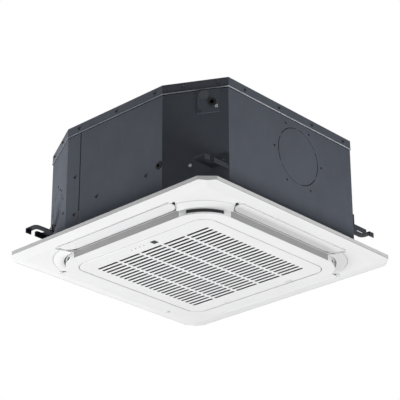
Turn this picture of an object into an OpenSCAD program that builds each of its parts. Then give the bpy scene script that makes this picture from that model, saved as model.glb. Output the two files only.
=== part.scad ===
// Four-way cassette fan coil unit, with its ceiling panel and everything inside.
// Front is -Y, right is +X, +Z is up. The origin is the centre of the four hanger slots,
// on the underside of the hanger plates, where the nuts of the hanging rods bear.

/* [Casing] */
// Width of the casing across its flat sides
casing_w = 575; // [568:1:580]
// Height of the casing, lid included
casing_h = 261; // [255:1:280]
// Corner cut along the front and back faces
corner_leg_x = 133; // [128:1:138]
// Corner cut along the side faces
corner_leg_y = 72; // [68:1:76]
// Thickness of the lid and wrap sheets
sheet_t = 1.2; // [0.8:0.1:1.6]
// Height of the folded flange of the lid
lid_flange_h = 23; // [18:1:28]
// Height of the rolled lip of the lid flange
lid_lip_h = 2; // [1:0.5:3]
// Distance of the wrap seams from the middle of the front and back faces
seam_x = 110; // [100:1:120]
// Width of the open joint between the two wraps
seam_gap = 2.5; // [0.5:0.5:3]
// Thickness of the foam liner behind the wraps
liner_t = 12; // [10:1:13]
// Thickness of the foam liner under the lid
lid_liner_t = 20; // [16:1:22]

/* [Knockouts and entries] */
// Diameter of the duct knockout on the side face
duct_d = 140; // [110:1:146]
// Pitch diameter of the screw holes round the duct knockout
duct_pitch_d = 165; // [156:1:175]
// Diameter of the fresh air knockout on the corner face
fresh_d = 88; // [70:1:92]
// Pitch diameter of the screw holes round the fresh air knockout
fresh_pitch_d = 106; // [102:1:112]
// Diameter of the screw holes round a knockout
pilot_d = 6; // [3:0.5:6]
// Width of the slit round a knockout
slit_w = 2; // [0.8:0.2:2.4]
// Width of the tabs that hold a knockout
tab_w = 7; // [4:1:10]
// Distance of the duct knockout from the middle of the side face
duct_y = 20; // [0:1:30]
// Height of the duct knockout over the hanger seat
duct_z = 106; // [95:1:110]
// Height of the fresh air knockout over the hanger seat
fresh_z = 52; // [50:1:60]
// Width of the service plate
service_w = 50; // [44:1:54]
// Height of the service plate
service_h = 58; // [50:1:62]
// Thickness of the service plate
service_t = 1.6; // [1:0.2:2]
// Diameter of the plug in the service plate
plug_d = 22; // [18:1:24]
// Diameter of the cable hole in the service plate
cable_d = 10; // [8:1:11]
// Diameter of the cable hole in the front face
wall_cable_d = 8; // [6:1:9]

/* [Hangers] */
// Distance between the hanger slots from left to right
hanger_pitch_x = 545; // [543:1:547]
// Distance between the hanger slots from front to back
hanger_pitch_y = 523; // [520:1:526]
// Height of the hanger seat above the lower edge of the casing
hanger_rise = 44; // [40:1:48]
// Width of a hanger slot
hanger_slot_w = 12; // [11:0.5:12]
// Length of a hanger slot
hanger_slot_l = 28; // [24:1:30]
// Thickness of a hanger plate
bracket_t = 2.5; // [2:0.5:3]
// Metal between a hanger slot and the edges of its plate
bracket_margin = 8; // [7:0.5:9]
// Length of a hanger plate along the side of the casing
bracket_l = 76; // [72:1:80]
// Height of the turned-down edge of a hanger plate
bracket_edge_h = 9; // [6:1:11]
// Height of the tab that fixes a hanger plate to the casing
bracket_tab_h = 26; // [22:1:28]

/* [Panel] */
// Width of the ceiling panel
panel_w = 647; // [644:1:655]
// Height of the panel from the casing down to the grille face
panel_h = 50; // [49:1:52]
// Height of the casing's lower edge above the ceiling
ceiling_gap = 20; // [19:1:22]
// Height of the panel's outer edge
rim_h = 8; // [6:1:9]
// Cut at the panel's corners
panel_corner = 30; // [24:1:34]
// Wall thickness of the panel mouldings
wall = 2.5; // [2:0.1:3]
// Drop of the panel's skin from its outer edge to the louvers
skirt_drop = 5; // [4:0.5:6]
// Width of the raised island round the grille
island_w = 492; // [490:1:493]
// Corner radius of the island
island_r = 86; // [84:1:88]
// Width of the grille door
grille_w = 418; // [416:1:420]
// Corner radius of the grille door
grille_r = 36; // [30:1:40]
// Gap round the grille door
grille_gap = 1.6; // [1.2:0.1:1.8]
// Thickness of the foam gasket between panel and casing
gasket_t = 5; // [4:0.5:6]
// Height of the air slot in the island's corners
corner_slot_h = 9; // [6:0.5:9]
// Height of the island's edge below the air slot
corner_lip_h = 4; // [3:0.5:5]
// Half of the angle that a corner air slot spans
corner_slot_deg = 29; // [20:1:30]
// Outer radius of a corner cover, about the centre of the island's corner
cover_r = 116; // [112:1:118]
// Gap round a corner cover
cover_gap = 0.5; // [0.4:0.1:0.8]

/* [Outlets] */
// Length of the deep part of an air outlet
outlet_l = 300; // [290:1:304]
// Depth of the deep part of an air outlet, across the panel
outlet_w = 27; // [24:1:28]
// Length of a louver
louver_l = 350; // [346:1:351]
// Width of a louver blade, from its pivot
louver_w = 38.5; // [36:0.5:38.5]
// Thickness of a louver blade
louver_t = 2.5; // [2:0.1:2.7]
// Radius of a louver's inner corners
louver_r = 30; // [26:1:33]
// Slope of a closed louver
louver_slope = 18; // [16:0.5:19]
// Angle that the louver is open, as it stands
louver_rest = 22.7; // [15:0.1:25]
// Diameter of a louver's pivot pins
pivot_d = 4; // [3:0.2:4.2]
// Radial running clearance of a pivot pin
pivot_gap = 0.08; // [0.05:0.01:0.1]
// Diameter of a louver motor
louver_motor_d = 22; // [20:0.5:22]
// Length of a louver motor
louver_motor_l = 18; // [14:1:20]

/* [Grille] */
// Slots in a row of the grille
slot_columns = 5; // [4:1:6]
// Rows of slots in the grille
slot_rows = 24; // [20:1:26]
// Distance between the rows of slots
slot_pitch = 13.95; // [12:0.05:14]
// Width of a slot
slot_w = 7; // [5:0.5:8]
// Length of a slot
slot_l = 65; // [60:1:66]
// Distance between the columns of slots
slot_column_pitch = 71; // [69:0.5:72]
// Thickness of the grille between its slots
grille_field_t = 1.4; // [1.2:0.1:1.8]
// Bevel of the grille's lower edge
grille_bevel = 2; // [1.5:0.1:2.2]
// Height of the stiffening rim on the inside of the grille
grille_rim_h = 6; // [4:0.5:7]
// Thickness of the air filter's frame
filter_t = 3; // [2:0.5:4]
// Distance of the latches from the middle of the grille
latch_x = 98; // [90:1:104]
// Travel of a latch
latch_travel = 4; // [3:0.5:4]
// Width of a latch slider
latch_w = 32; // [28:1:34]
// Distance of the receiver window from the middle of the grille
window_x = 32; // [28:1:40]
// Width of the receiver window
window_w = 15; // [12:1:16]

/* [Fan] */
// Diameter of the fan
fan_d = 310; // [300:1:320]
// Diameter of the fan's inlet collar
fan_eye_d = 214; // [208:1:220]
// Height of the top of the fan over the hanger seat
fan_top = 152; // [150:1:156]
// Height of the lower end of the inlet collar over the hanger seat
fan_low = 14; // [12:1:16]
// Number of fan blades
fan_blades = 7; // [5:1:9]
// Thickness of the fan's mouldings
fan_wall = 2.5; // [2:0.1:3]
// Diameter of the fan motor
motor_d = 120; // [110:1:124]
// Height of the fan motor
motor_h = 66; // [60:1:68]
// Diameter of the motor shaft
shaft_d = 12; // [10:0.5:14]
// Height of the rubber motor mounts
mount_h = 12.8; // [10:0.2:14]

/* [Coil and drain] */
// Outer width of the coil across its flat sides
coil_w = 436; // [430:1:438]
// Depth of the coil's fins
coil_t = 28; // [24:1:29]
// Outer corner radius of the coil
coil_r = 60; // [50:1:66]
// End of the coil on the back face, from the middle
coil_end_x = 80; // [74:1:90]
// End of the coil on the left face, from the middle
coil_end_y = 110; // [104:1:114]
// Distance between the tubes of the coil, one above the other
tube_pitch = 25; // [23:1:26]
// Diameter of the coil tubes
tube_d = 9; // [7:0.5:10]
// Number of tubes in a row of the coil
tube_rows = 8; // [6:1:8]
// Diameter of the headers
header_d = 18; // [16:1:20]
// Diameter of the water connections, over the thread
water_d = 26.4; // [25:0.1:27]
// Height of the water connections over the hanger seat
water_z = 90; // [86:1:94]
// Length of the water connections outside the casing
water_out = 28; // [20:1:32]
// Diameter of the drain connection
drain_d = 25; // [22:1:26]
// Height of the drain connection over the hanger seat
drain_z = 160; // [154:1:166]
// Height of the drain pan
pan_h = 39; // [38:1:42]
// Thickness of the pan's floor under the coil
pan_floor = 16; // [14:1:18]
// Diameter of the drain pump
pump_d = 40; // [36:1:42]
// Travel of the float
float_travel = 12; // [8:1:14]

/* [Hidden] */
$fn = 64;

overrun = 1;
fine_gap = 0.3;

// Screws and bolts
screw_d = 4;
screw_head_d = 8;
screw_head_h = 2;
screw_grip = 6;
screw_gap = 0.1;
panel_screw_d = 5;
panel_screw_head_d = 9;
panel_screw_head_h = 3;
panel_screw_grip = 8;
bolt_d = 6;
bolt_head_d = 11;
bolt_head_h = 4;

// Casing
casing_half = casing_w / 2;
casing_low = -hanger_rise;
casing_top = casing_low + casing_h;
lid_under = casing_top - sheet_t;
lid_edge = casing_top - lid_flange_h;
lip_proud = sheet_t;
bead_w = 4;
bead_h = 2;
corner_len = norm([corner_leg_x, corner_leg_y]);
corner_deg = atan2(corner_leg_y, corner_leg_x);
corner_n = [corner_leg_y, corner_leg_x] / corner_len;
corner_reach = corner_n * [casing_half - corner_leg_x, casing_half];
inside = 2 * sheet_t;
liner_in = inside + liner_t;
coil_top = lid_under - lid_liner_t;
pan_top = casing_low + pan_h;
gutter_z = casing_low + pan_floor;

// Panel
panel_half = panel_w / 2;
frame_top = casing_low - gasket_t;
face_z = casing_low - panel_h;
ceiling_z = casing_low - ceiling_gap;
rim_low = ceiling_z - rim_h;
skin_z = rim_low - skirt_drop;
island_half = island_w / 2;
arc_c = island_half - island_r;
opening_half = grille_w / 2 + grille_gap;
opening_r = grille_r + grille_gap;
intake_gap = 0.9;
intake_half = opening_half + intake_gap;
intake_r = opening_r + intake_gap;
seat_w = 12;
seat_margin = 1;

// Louvers and the outlets round them
louver_open = 22;
blade_gap = 2.5;
blade_lap = 1;
nose_gap = 0.4;
ear_t = 4.5;
ear_gap = 1.5;
ear_rim = 1.1;
lug_in_gap = 1.5;
lug_plate = 5;
lug_rise = 6;
pivot_rise = 5;
pocket_gap = 1.25;
blade_drop = pivot_d;
nose_r = blade_drop - nose_gap;
pivot_r = island_half + louver_w + blade_gap;
pivot_z = skin_z + pivot_rise;
skin_in = pivot_r + nose_r;
open_deg = louver_rest + louver_open - louver_slope;
pocket_z = pivot_z + louver_w * sin(open_deg) - blade_drop * cos(open_deg) + pocket_gap;
pocket_top = pocket_z + wall;
base_in = 17;
tip_out = 13;
end_out = 6;
tip_back = 10.6;
outlet_base = louver_l / 2 - base_in;
outlet_tip = louver_l / 2 + tip_out;
outlet_end = louver_l / 2 + end_out;
outlet_tip_r = skin_in - tip_back;
slant_share = 1.33;
deep_half = outlet_l / 2;
deep_out = island_half + outlet_w;
lug_near = louver_l / 2 + lug_in_gap;
lug_far = lug_near + lug_plate;
boss_far = outlet_tip + slant_share * wall + 2 * nose_gap;
boss_r = lug_rise;
motor_lift = 9;

// Panel corners
recess_gap = 0.5;
recess_r = cover_r + recess_gap;
recess_rise = 6;
recess_z = skin_z + recess_rise;
cover_in_r = island_r + 4.5;
cover_drop = 4.5;
panel_screw_r = 100;
panel_screw_at = arc_c + panel_screw_r / sqrt(2);
screw_boss_r = 8;

// Places on the casing's faces: x, y, z and the turn that faces outwards
function front_site(x, z) = [x, -casing_half, z, 0];
function right_site(y, z) = [casing_half, y, z, 90];
function back_site(x, z) = [x, casing_half, z, 180];
function left_site(y, z) = [-casing_half, y, z, 270];
function corner_site(mx, my, s, z) = [
    mx * (casing_half - corner_leg_x / 2 + s * cos(corner_deg)),
    my * (casing_half - corner_leg_y / 2 - s * sin(corner_deg)), z,
    atan2(mx * sin(corner_deg), -my * cos(corner_deg))];
function deep_point(site, deep) = [site.x - deep * sin(site[3]), site.y + deep * cos(site[3]), site.z];
module at_site(s) {
    translate([s.x, s.y, s.z]) rotate([0, 0, s[3]]) rotate([90, 0, 0]) children();
}

// The casing's eight-sided outline, drawn in by a given inset
function casing_outline(inset) = let(h = casing_half - inset, d = corner_reach - inset,
    x = (d - corner_n.y * h) / corner_n.x, y = (d - corner_n.x * h) / corner_n.y)
    [[h, -y], [h, y], [x, h], [-x, h], [-h, y], [-h, -y], [-x, -h], [x, -h]];

module slab(low, high) {
    translate([0, 0, low]) linear_extrude(high - low) children();
}
module ring(outer_r, inner_r, low, high) {
    translate([0, 0, low]) difference() {
        cylinder(r = outer_r, h = high - low);
        translate([0, 0, -overrun]) cylinder(r = inner_r, h = high - low + 2 * overrun);
    }
}
module box(low, high) {
    translate(low) cube(high - low);
}
module rod(d, low, high) {
    translate([0, 0, low]) cylinder(d = d, h = high - low, $fn = 32);
}
module round_square(half, r) {
    square([2 * half, 2 * (half - r)], center = true);
    square([2 * (half - r), 2 * half], center = true);
    for (x = [-1, 1], y = [-1, 1]) translate([x, y] * (half - r)) circle(r);
}
module square_ring(half, r, width, low, high) {
    slab(low, high) difference() {
        round_square(half, r);
        round_square(half - width, r - width);
    }
}
module each_corner() {
    for (x = [0, 1], y = [0, 1]) mirror([x, 0, 0]) mirror([0, y, 0]) children();
}
module each_side() {
    for (side = [0:3]) rotate(90 * side) children();
}

// Screws of the casing
flange_z = (lid_edge + casing_top) / 2;
low_z = 11;
strip_gap = 17;
strip_x = seam_x + strip_gap;
strip_z = 83;
corner_screw_s = -12;
fresh_screw_s = -50;
flange_side_y = [-161, -44, 72, 187];
flange_front_x = [-117, 8, 130];
flange_corner_s = [-27, 52];
low_front_x = [-53, 104];
tab_s = corner_len / 2 - bracket_tab_h / 2;
service_s = 29;
service_z = lid_edge - lid_lip_h - service_h / 2;
service_edge = 6;
flange_sites = concat(
    [for (y = flange_side_y) right_site(y, flange_z)], [for (y = flange_side_y) left_site(-y, flange_z)],
    [for (x = flange_front_x) front_site(x, flange_z)], [for (x = flange_front_x) back_site(-x, flange_z)],
    [for (x = [-1, 1], y = [-1, 1], s = flange_corner_s) corner_site(x, y, s, flange_z)]);
wrap_sites = concat(
    [for (x = low_front_x) front_site(x, low_z)], [for (x = low_front_x) back_site(-x, low_z)],
    [for (z = [-low_z, strip_z]) front_site(-strip_x, z)],
    [for (z = [-low_z, strip_z]) back_site(strip_x, z)],
    [for (x = [-1, 1]) corner_site(x, -x, corner_screw_s, low_z)],
    [for (x = [-1, 1]) corner_site(x, x, fresh_screw_s, low_z)]);
tab_sites = [for (x = [-1, 1], y = [-1, 1]) corner_site(x, y, tab_s, bracket_tab_h / 2)];
service_sites = [
    corner_site(1, -1, service_s + service_w / 2 - service_edge, service_z - service_h / 4),
    corner_site(1, -1, service_s - service_w / 2 + service_edge, service_z - service_h / 2 + service_edge)];
all_sites = concat(flange_sites, wrap_sites, tab_sites, service_sites);
module screw_holes() {
    for (s = all_sites) at_site(s) rod(screw_d + 2 * screw_gap, -screw_grip - overrun, bracket_t + overrun);
}
module screw(seat) {
    rod(screw_head_d, seat, seat + screw_head_h);
    rod(screw_d, -screw_grip, seat + screw_head_h / 2);
}
module casing_screws() color("dimgray") {
    for (s = flange_sites) at_site(s) screw(0);
    for (s = wrap_sites) at_site(s) screw(-sheet_t);
    for (s = tab_sites) at_site(s) screw(bracket_t - sheet_t);
    for (s = service_sites) at_site(s) screw(service_t - sheet_t);
}

// Lid, with two pressed rings on its top
motor_ear_r = 78;
ear_turns = [45:90:315];
module top_cover() color([0.27, 0.30, 0.34]) difference() {
    union() {
        slab(lid_under, casing_top) polygon(casing_outline(0));
        slab(lid_edge, casing_top) difference() {
            polygon(casing_outline(0));
            polygon(casing_outline(sheet_t));
        }
        slab(lid_edge, lid_edge + lid_lip_h) difference() {
            polygon(casing_outline(-lip_proud));
            polygon(casing_outline(sheet_t));
        }
        for (r = [motor_d, fan_d * 3 / 4]) ring(r, r - bead_w, lid_under, casing_top + bead_h);
    }
    screw_holes();
    for (a = ear_turns) rotate(a) translate([motor_ear_r, 0, 0])
        rod(bolt_d + 2 * screw_gap, lid_under - overrun, casing_top + overrun);
}

// Entries: water and drain pipes on the back left corner, cables on the front and front right
inlet_s = -50;
outlet_s = -12;
drain_s = 16;
plug_s = 20;
cable_s = 38;
cable_z = service_z - service_edge / 2;
wall_cable_x = 144;
wall_cable_z = 22;
entry_gap = 1.5;
// The connections end in a spigot, with a thicker neck behind it
neck_step = 1;
spigot_l = 20;
inlet_site = corner_site(-1, 1, inlet_s, water_z);
outlet_site = corner_site(-1, 1, outlet_s, water_z);
drain_site = corner_site(-1, 1, drain_s, drain_z);
plug_site = corner_site(1, -1, plug_s, service_z + service_h / 2 - plug_d / 2 - lid_lip_h);
cable_site = corner_site(1, -1, cable_s, cable_z);
wall_cable_site = front_site(wall_cable_x, wall_cable_z);
module entry_hole(site, d, deep) {
    at_site(site) rod(d, -deep, service_t + overrun);
}
module entry_holes(deep) {
    for (s = [inlet_site, outlet_site]) entry_hole(s, water_d + 2 * neck_step + 4 * entry_gap, deep);
    entry_hole(drain_site, drain_d + 2 * neck_step + 4 * entry_gap, deep);
    entry_hole(plug_site, plug_d + 2 * screw_gap, deep);
    entry_hole(cable_site, cable_d + 4 * entry_gap, deep);
    entry_hole(wall_cable_site, wall_cable_d + 4 * entry_gap, deep);
}
module knockout(site, d, pitch_d, holes, tabs) {
    at_site(site) translate([0, 0, -inside - overrun]) {
        linear_extrude(inside + 2 * overrun) difference() {
            circle(d = d);
            circle(d = d - 2 * slit_w);
            for (k = [0:tabs - 1]) rotate(360 * k / tabs + 180 / tabs) translate([d / 2, 0])
                square(tab_w, center = true);
        }
        for (k = [0:holes - 1]) rotate(360 * k / holes) translate([pitch_d / 2, 0, 0])
            cylinder(d = pilot_d, h = inside + 2 * overrun, $fn = 24);
    }
}
fresh_s = 8;
duct_pilots = 6;
duct_tabs = 6;
fresh_pilots = 4;
fresh_tabs = 6;

// The two wraps, with their seams on the front and back faces
module right_region(gap) {
    w = panel_w;
    polygon([[-seam_x + gap, -w], [w, -w], [w, w], [seam_x + gap, w], [seam_x + gap, 0], [-seam_x + gap, 0]]);
}
module wrap_ring() slab(casing_low, lid_under) difference() {
    polygon(casing_outline(sheet_t));
    polygon(casing_outline(inside));
}
module wrap_cuts() {
    screw_holes();
    entry_holes(inside + overrun);
    knockout(right_site(duct_y, duct_z), duct_d, duct_pitch_d, duct_pilots, duct_tabs);
    knockout(left_site(-duct_y, duct_z), duct_d, duct_pitch_d, duct_pilots, duct_tabs);
    knockout(corner_site(-1, -1, fresh_s, fresh_z), fresh_d, fresh_pitch_d, fresh_pilots, fresh_tabs);
    knockout(corner_site(1, 1, fresh_s, fresh_z), fresh_d, fresh_pitch_d, fresh_pilots, fresh_tabs);
}
module casing_wrap_right() color([0.29, 0.31, 0.35]) difference() {
    intersection() {
        wrap_ring();
        slab(casing_low - overrun, casing_top) right_region(seam_gap / 2);
    }
    wrap_cuts();
}
module casing_wrap_left() color([0.33, 0.35, 0.39]) difference() {
    wrap_ring();
    slab(casing_low - overrun, casing_top) right_region(-seam_gap / 2);
    wrap_cuts();
}
module casing_liner() color("silver") difference() {
    slab(pan_top, lid_under) difference() {
        polygon(casing_outline(inside));
        polygon(casing_outline(liner_in));
    }
    entry_holes(liner_in + overrun);
    screw_holes();
}
module lid_liner() color("silver") difference() {
    slab(coil_top, lid_under) polygon(casing_outline(liner_in));
    rod(2 * (motor_ear_r + liner_t), coil_top - overrun, lid_under + overrun);
}

// Hanger plates with side-entry slots, screwed to the corner faces
bracket_out = hanger_pitch_x / 2 + hanger_slot_w / 2 + bracket_margin;
bracket_lap = 37;
bracket_in = casing_half - bracket_lap;
bracket_far = hanger_pitch_y / 2 + hanger_slot_l / 2 + 2 * bracket_margin;
bracket_near = bracket_far - bracket_l;
bracket_r = bracket_margin * 3 / 2;
entry_y = hanger_pitch_y / 2 + hanger_slot_l / 2 - hanger_slot_w / 2;
module bracket_plate() {
    translate([bracket_in + bracket_r, bracket_near]) square([bracket_out - bracket_in - bracket_r, bracket_l]);
    translate([bracket_in, bracket_near]) square([bracket_out - bracket_in, bracket_l - bracket_r]);
    translate([bracket_in, bracket_far] + [bracket_r, -bracket_r]) circle(bracket_r);
}
module hanger_bracket() difference() {
    union() {
        slab(0, bracket_t) bracket_plate();
        box([bracket_out - bracket_t, bracket_near, -bracket_edge_h], [bracket_out, bracket_far, bracket_t]);
        at_site(corner_site(1, 1, tab_s, 0)) box([-bracket_tab_h / 2, 0, -sheet_t],
            [bracket_tab_h / 2, bracket_tab_h, bracket_t - sheet_t]);
    }
    slab(-bracket_edge_h - overrun, bracket_tab_h + overrun) polygon(casing_outline(sheet_t));
    slab(-overrun, bracket_t + overrun) translate([hanger_pitch_x, hanger_pitch_y] / 2) {
        square([hanger_slot_w, hanger_slot_l - hanger_slot_w], center = true);
        for (y = [-1, 1]) translate([0, y * (hanger_slot_l - hanger_slot_w) / 2]) circle(d = hanger_slot_w);
    }
    box([hanger_pitch_x / 2, entry_y - hanger_slot_w / 2, -bracket_edge_h - overrun],
        [bracket_out + overrun, entry_y + hanger_slot_w / 2, bracket_t + overrun]);
    screw_holes();
}
module hanger_brackets() color([0.12, 0.14, 0.18]) each_corner() hanger_bracket();

// Lugs inside the casing's corners that the panel screws reach
lug_t = 2;
lug_s = 17;
lug_w = 30;
lug_deep = 28;
lug_h = 24;
nut_d = 9;
nut_h = 4;
module each_panel_screw() {
    for (x = [-1, 1], y = [-1, 1]) translate([x * panel_screw_at, y * panel_screw_at, 0]) children();
}
module panel_lugs() color("gray") {
    difference() {
        for (x = [-1, 1], y = [-1, 1]) at_site(corner_site(x, y, lug_s, casing_low)) {
            box([-lug_w / 2, 0, -lug_deep], [lug_w / 2, lug_t, -inside]);
            box([-lug_w / 2, 0, -inside - lug_t], [lug_w / 2, lug_h, -inside]);
        }
        each_panel_screw() rod(panel_screw_d + 2 * screw_gap, casing_low - overrun, casing_low + lug_t + overrun);
        screw_holes();
    }
    each_panel_screw() ring(nut_d / 2, panel_screw_d / 2 + screw_gap, casing_low + lug_t, casing_low + lug_t + nut_h);
}
module panel_screws() color("silver") each_panel_screw() {
    rod(panel_screw_head_d, recess_z - panel_screw_head_h, recess_z);
    rod(panel_screw_d, recess_z - panel_screw_head_h / 2, casing_low + panel_screw_grip);
}

// Service plate on the front right corner, with its plug and cable rings
plug_rim = 1.2;
module service_plate() color([0.25, 0.27, 0.31]) difference() {
    at_site(corner_site(1, -1, service_s, service_z))
        box([-service_w / 2, -service_h / 2, -sheet_t], [service_w / 2, service_h / 2, service_t - sheet_t]);
    entry_holes(inside);
    screw_holes();
}
module service_plug() color([0.18, 0.19, 0.22]) at_site(plug_site) {
    rod(plug_d + 2 * plug_rim, service_t - sheet_t, service_t - sheet_t + plug_rim);
    rod(plug_d, -inside - liner_t / 2, service_t);
}
module grommet(site, d, seat) {
    at_site(site) difference() {
        union() {
            rod(d + 6 * entry_gap, seat, seat + entry_gap);
            rod(d + 4 * entry_gap, -inside, seat + entry_gap);
        }
        rod(d, -inside - overrun, seat + entry_gap + overrun);
    }
}
module grommets() color([0.1, 0.1, 0.1]) {
    grommet(cable_site, cable_d, service_t - sheet_t);
    grommet(wall_cable_site, wall_cable_d, -sheet_t);
    for (s = [inlet_site, outlet_site]) grommet(s, water_d + 2 * neck_step, -sheet_t);
    grommet(drain_site, drain_d + 2 * neck_step, -sheet_t);
}

// Coil: a fin block bent round three corners, open at the back left corner
coil_half = coil_w / 2;
coil_mid = coil_half - coil_t / 2;
row_gap = coil_t / 4;
end_plate_t = 2;
header_out = 30;
header_rise = 18;
bore_d = 16;
pipe_d = 20;
run_d = 14;
pipe_deep = 82;
module coil_end_region(grow) {
    translate([-coil_half - overrun, coil_end_y - grow]) square([coil_t * 2, coil_w]);
    translate([-coil_half - overrun, coil_half - coil_t - overrun])
        square([coil_half - coil_end_x + grow + overrun, coil_t * 2]);
}
module coil_fins() color("lightsteelblue") slab(gutter_z, coil_top) difference() {
    round_square(coil_half, coil_r);
    round_square(coil_half - coil_t, coil_r - coil_t);
    coil_end_region(end_plate_t);
}
// The two coil ends: local X runs out of the fins and local Y across them
module at_back_end() {
    translate([-coil_end_x, coil_mid, 0]) rotate(180) children();
}
module at_left_end() {
    translate([-coil_mid, coil_end_y, 0]) rotate(90) children();
}
module at_coil_ends() {
    at_back_end() children();
    at_left_end() children();
}
function tube_z(k) = gutter_z + tube_pitch * (k + 3 / 5);
header_low = tube_z(0) - tube_d / 2;
header_high = tube_z(tube_rows - 1) + header_rise;
module coil_end_plates() color("gainsboro") at_coil_ends()
    box([-end_plate_t, -coil_t / 2, gutter_z], [0, coil_t / 2, coil_top]);
module coil_bends() color("peru") at_coil_ends() for (k = [0:2:tube_rows - 2])
    translate([0, row_gap, (tube_z(k) + tube_z(k + 1)) / 2]) rotate([90, 0, 0])
        rotate([0, 0, -90]) rotate_extrude(angle = 180, $fn = 48) translate([tube_pitch / 2, 0])
            circle(d = tube_d, $fn = 24);
module header() {
    for (k = [0:tube_rows - 1]) translate([0, -row_gap, tube_z(k)]) rotate([0, 90, 0])
        cylinder(d = tube_d, h = header_out, $fn = 24);
    translate([header_out, -row_gap, 0]) rod(header_d, header_low, header_high);
}
// A level run between two points
module run(a, b, d) {
    way = b - a;
    translate(a) rotate([0, 0, atan2(way.y, way.x)]) rotate([0, 90, 0]) cylinder(d = d, h = norm(way), $fn = 32);
}
module water_pipe(site) at_site(site) difference() {
    union() {
        rod(pipe_d, -pipe_deep - run_d, -liner_in);
        rod(water_d + 2 * neck_step, -liner_in, water_out - spigot_l);
        rod(water_d, water_out - spigot_l, water_out);
    }
    rod(bore_d, -liner_in, water_out + overrun);
}
module inlet_header() color("darkgoldenrod") {
    at_back_end() header();
    run([-coil_end_x - header_out, coil_mid + row_gap, water_z], deep_point(inlet_site, pipe_deep), run_d);
    water_pipe(inlet_site);
}
module outlet_header() color("darkgoldenrod") {
    difference() {
        at_left_end() header();
        translate(vent_at) rod(vent_d + 2 * pivot_gap, 0, 2 * vent_deep);
    }
    run([-coil_mid + row_gap, coil_end_y + header_out, water_z], deep_point(outlet_site, pipe_deep), run_d);
    water_pipe(outlet_site);
}
vent_d = 6;
vent_deep = 8;
vent_head_d = 10;
vent_head_h = 6;
vent_slot_w = 1.2;
vent_at = [-coil_mid + row_gap, coil_end_y + header_out, header_high - vent_deep];
module vent_screw() color("silver") translate(vent_at + [0, 0, fine_gap]) {
    rod(vent_d, 0, vent_deep);
    difference() {
        translate([0, 0, vent_deep]) cylinder(d = vent_head_d, h = vent_head_h, $fn = 6);
        box([-vent_d, -vent_slot_w / 2, vent_deep + vent_head_h / 2],
            [vent_d, vent_slot_w / 2, vent_deep + vent_head_h + overrun]);
    }
}

// Plate that closes the open corner between the two coil ends
plate_a = [-coil_end_x, coil_half - coil_t];
plate_b = [-coil_half + coil_t, coil_end_y];
plate_turn = atan2(plate_a.y - plate_b.y - end_plate_t, plate_a.x - plate_b.x - end_plate_t);
module closing_plate() color("gainsboro") slab(pan_top, coil_top)
    polygon([plate_a, plate_a - [end_plate_t, 0], plate_b + [0, end_plate_t], plate_b,
        plate_b + [end_plate_t, 0], plate_a - [0, end_plate_t]]);

// Fan, with its motor hung from the lid on rubber mounts
fan_r = fan_d / 2;
eye_r = fan_eye_d / 2;
collar_h = 8;
shroud_r = fan_r - eye_r;
shroud_z = fan_low + collar_h;
cup_gap = 8.5;
cup_r = motor_d / 2 + cup_gap;
cup_deep = 25;
hub_r = 14;
hub_deep = 42;
blade_in_r = eye_r + 5;
blade_turn = 1.1;
blade_sweep = 34;
blade_steps = 6;
fan_edge = 0.2;
motor_top = lid_under - mount_h;
motor_low = motor_top - motor_h;
motor_r = motor_d / 2;
motor_wall = 2.5;
ear_w = 18;
ear_h = 4;
mount_d = 18;
bearing_d = 32;
bearing_h = 10;
core_in = 14;
core_low = motor_low + core_in;
core_high = motor_top - core_in;
rotor_r = motor_r / 2;
air_gap = 0.6;
shaft_out = 11;
shaft_low = fan_top - hub_deep - shaft_out;
shaft_gap = 0.05;
fan_nut_d = 24;
fan_nut_h = 9;
function swirl(t, turn) = let(r = blade_in_r + (fan_r - fan_edge - blade_in_r) * t / blade_steps,
    a = turn - blade_sweep * t / blade_steps) [r * cos(a), r * sin(a)];
module fan_impeller() color([0.75, 0.77, 0.80]) difference() {
    union() {
        ring(fan_r, cup_r - fan_wall, fan_top - fan_wall, fan_top);
        ring(cup_r, cup_r - fan_wall, fan_top - cup_deep, fan_top);
        rod(2 * cup_r, fan_top - cup_deep, fan_top - cup_deep + fan_wall);
        rod(2 * hub_r, fan_top - hub_deep, fan_top - cup_deep + fan_wall);
        ring(eye_r + fan_wall, eye_r, fan_low, shroud_z);
        rotate_extrude() intersection() {
            translate([fan_r, shroud_z]) difference() {
                circle(shroud_r);
                circle(shroud_r - fan_wall);
            }
            translate([0, shroud_z]) square([fan_r, shroud_r + overrun]);
        }
        difference() {
            slab(shroud_z, fan_top - fan_wall / 2) for (k = [0:fan_blades - 1]) rotate(360 * k / fan_blades)
                polygon(concat([for (t = [0:blade_steps]) swirl(t, 0)],
                    [for (t = [blade_steps:-1:0]) swirl(t, blade_turn)]));
            translate([0, 0, shroud_z]) rotate_extrude() translate([fan_r, 0]) circle(shroud_r - fan_wall / 2);
        }
    }
    rod(shaft_d, shaft_low, fan_top);
}
module fan_nut() color("silver") translate([0, 0, fan_top - hub_deep - fan_nut_h]) difference() {
    cylinder(d = fan_nut_d, h = fan_nut_h, $fn = 6);
    rod(shaft_d, -overrun, fan_nut_h + overrun);
}
module motor_shaft() color("silver") rod(shaft_d, shaft_low, motor_top - motor_wall - fine_gap);
module motor_case() color("gray") difference() {
    union() {
        rod(motor_d, motor_low, motor_top);
        slab(motor_top - ear_h, motor_top) for (a = ear_turns) rotate(a) {
            translate([0, -ear_w / 2]) square([motor_ear_r, ear_w]);
            translate([motor_ear_r, 0]) circle(d = ear_w);
        }
    }
    rod(motor_d - 2 * motor_wall, motor_low + motor_wall, motor_top - motor_wall);
    rod(bearing_d, motor_low - overrun, motor_low + motor_h / 2);
    for (a = ear_turns) rotate(a) translate([motor_ear_r, 0, 0])
        rod(bolt_d + 2 * screw_gap, motor_top - ear_h - overrun, motor_top + overrun);
}
module motor_stator() color("peru") ring(motor_r - motor_wall, rotor_r + air_gap, core_low, core_high);
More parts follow.
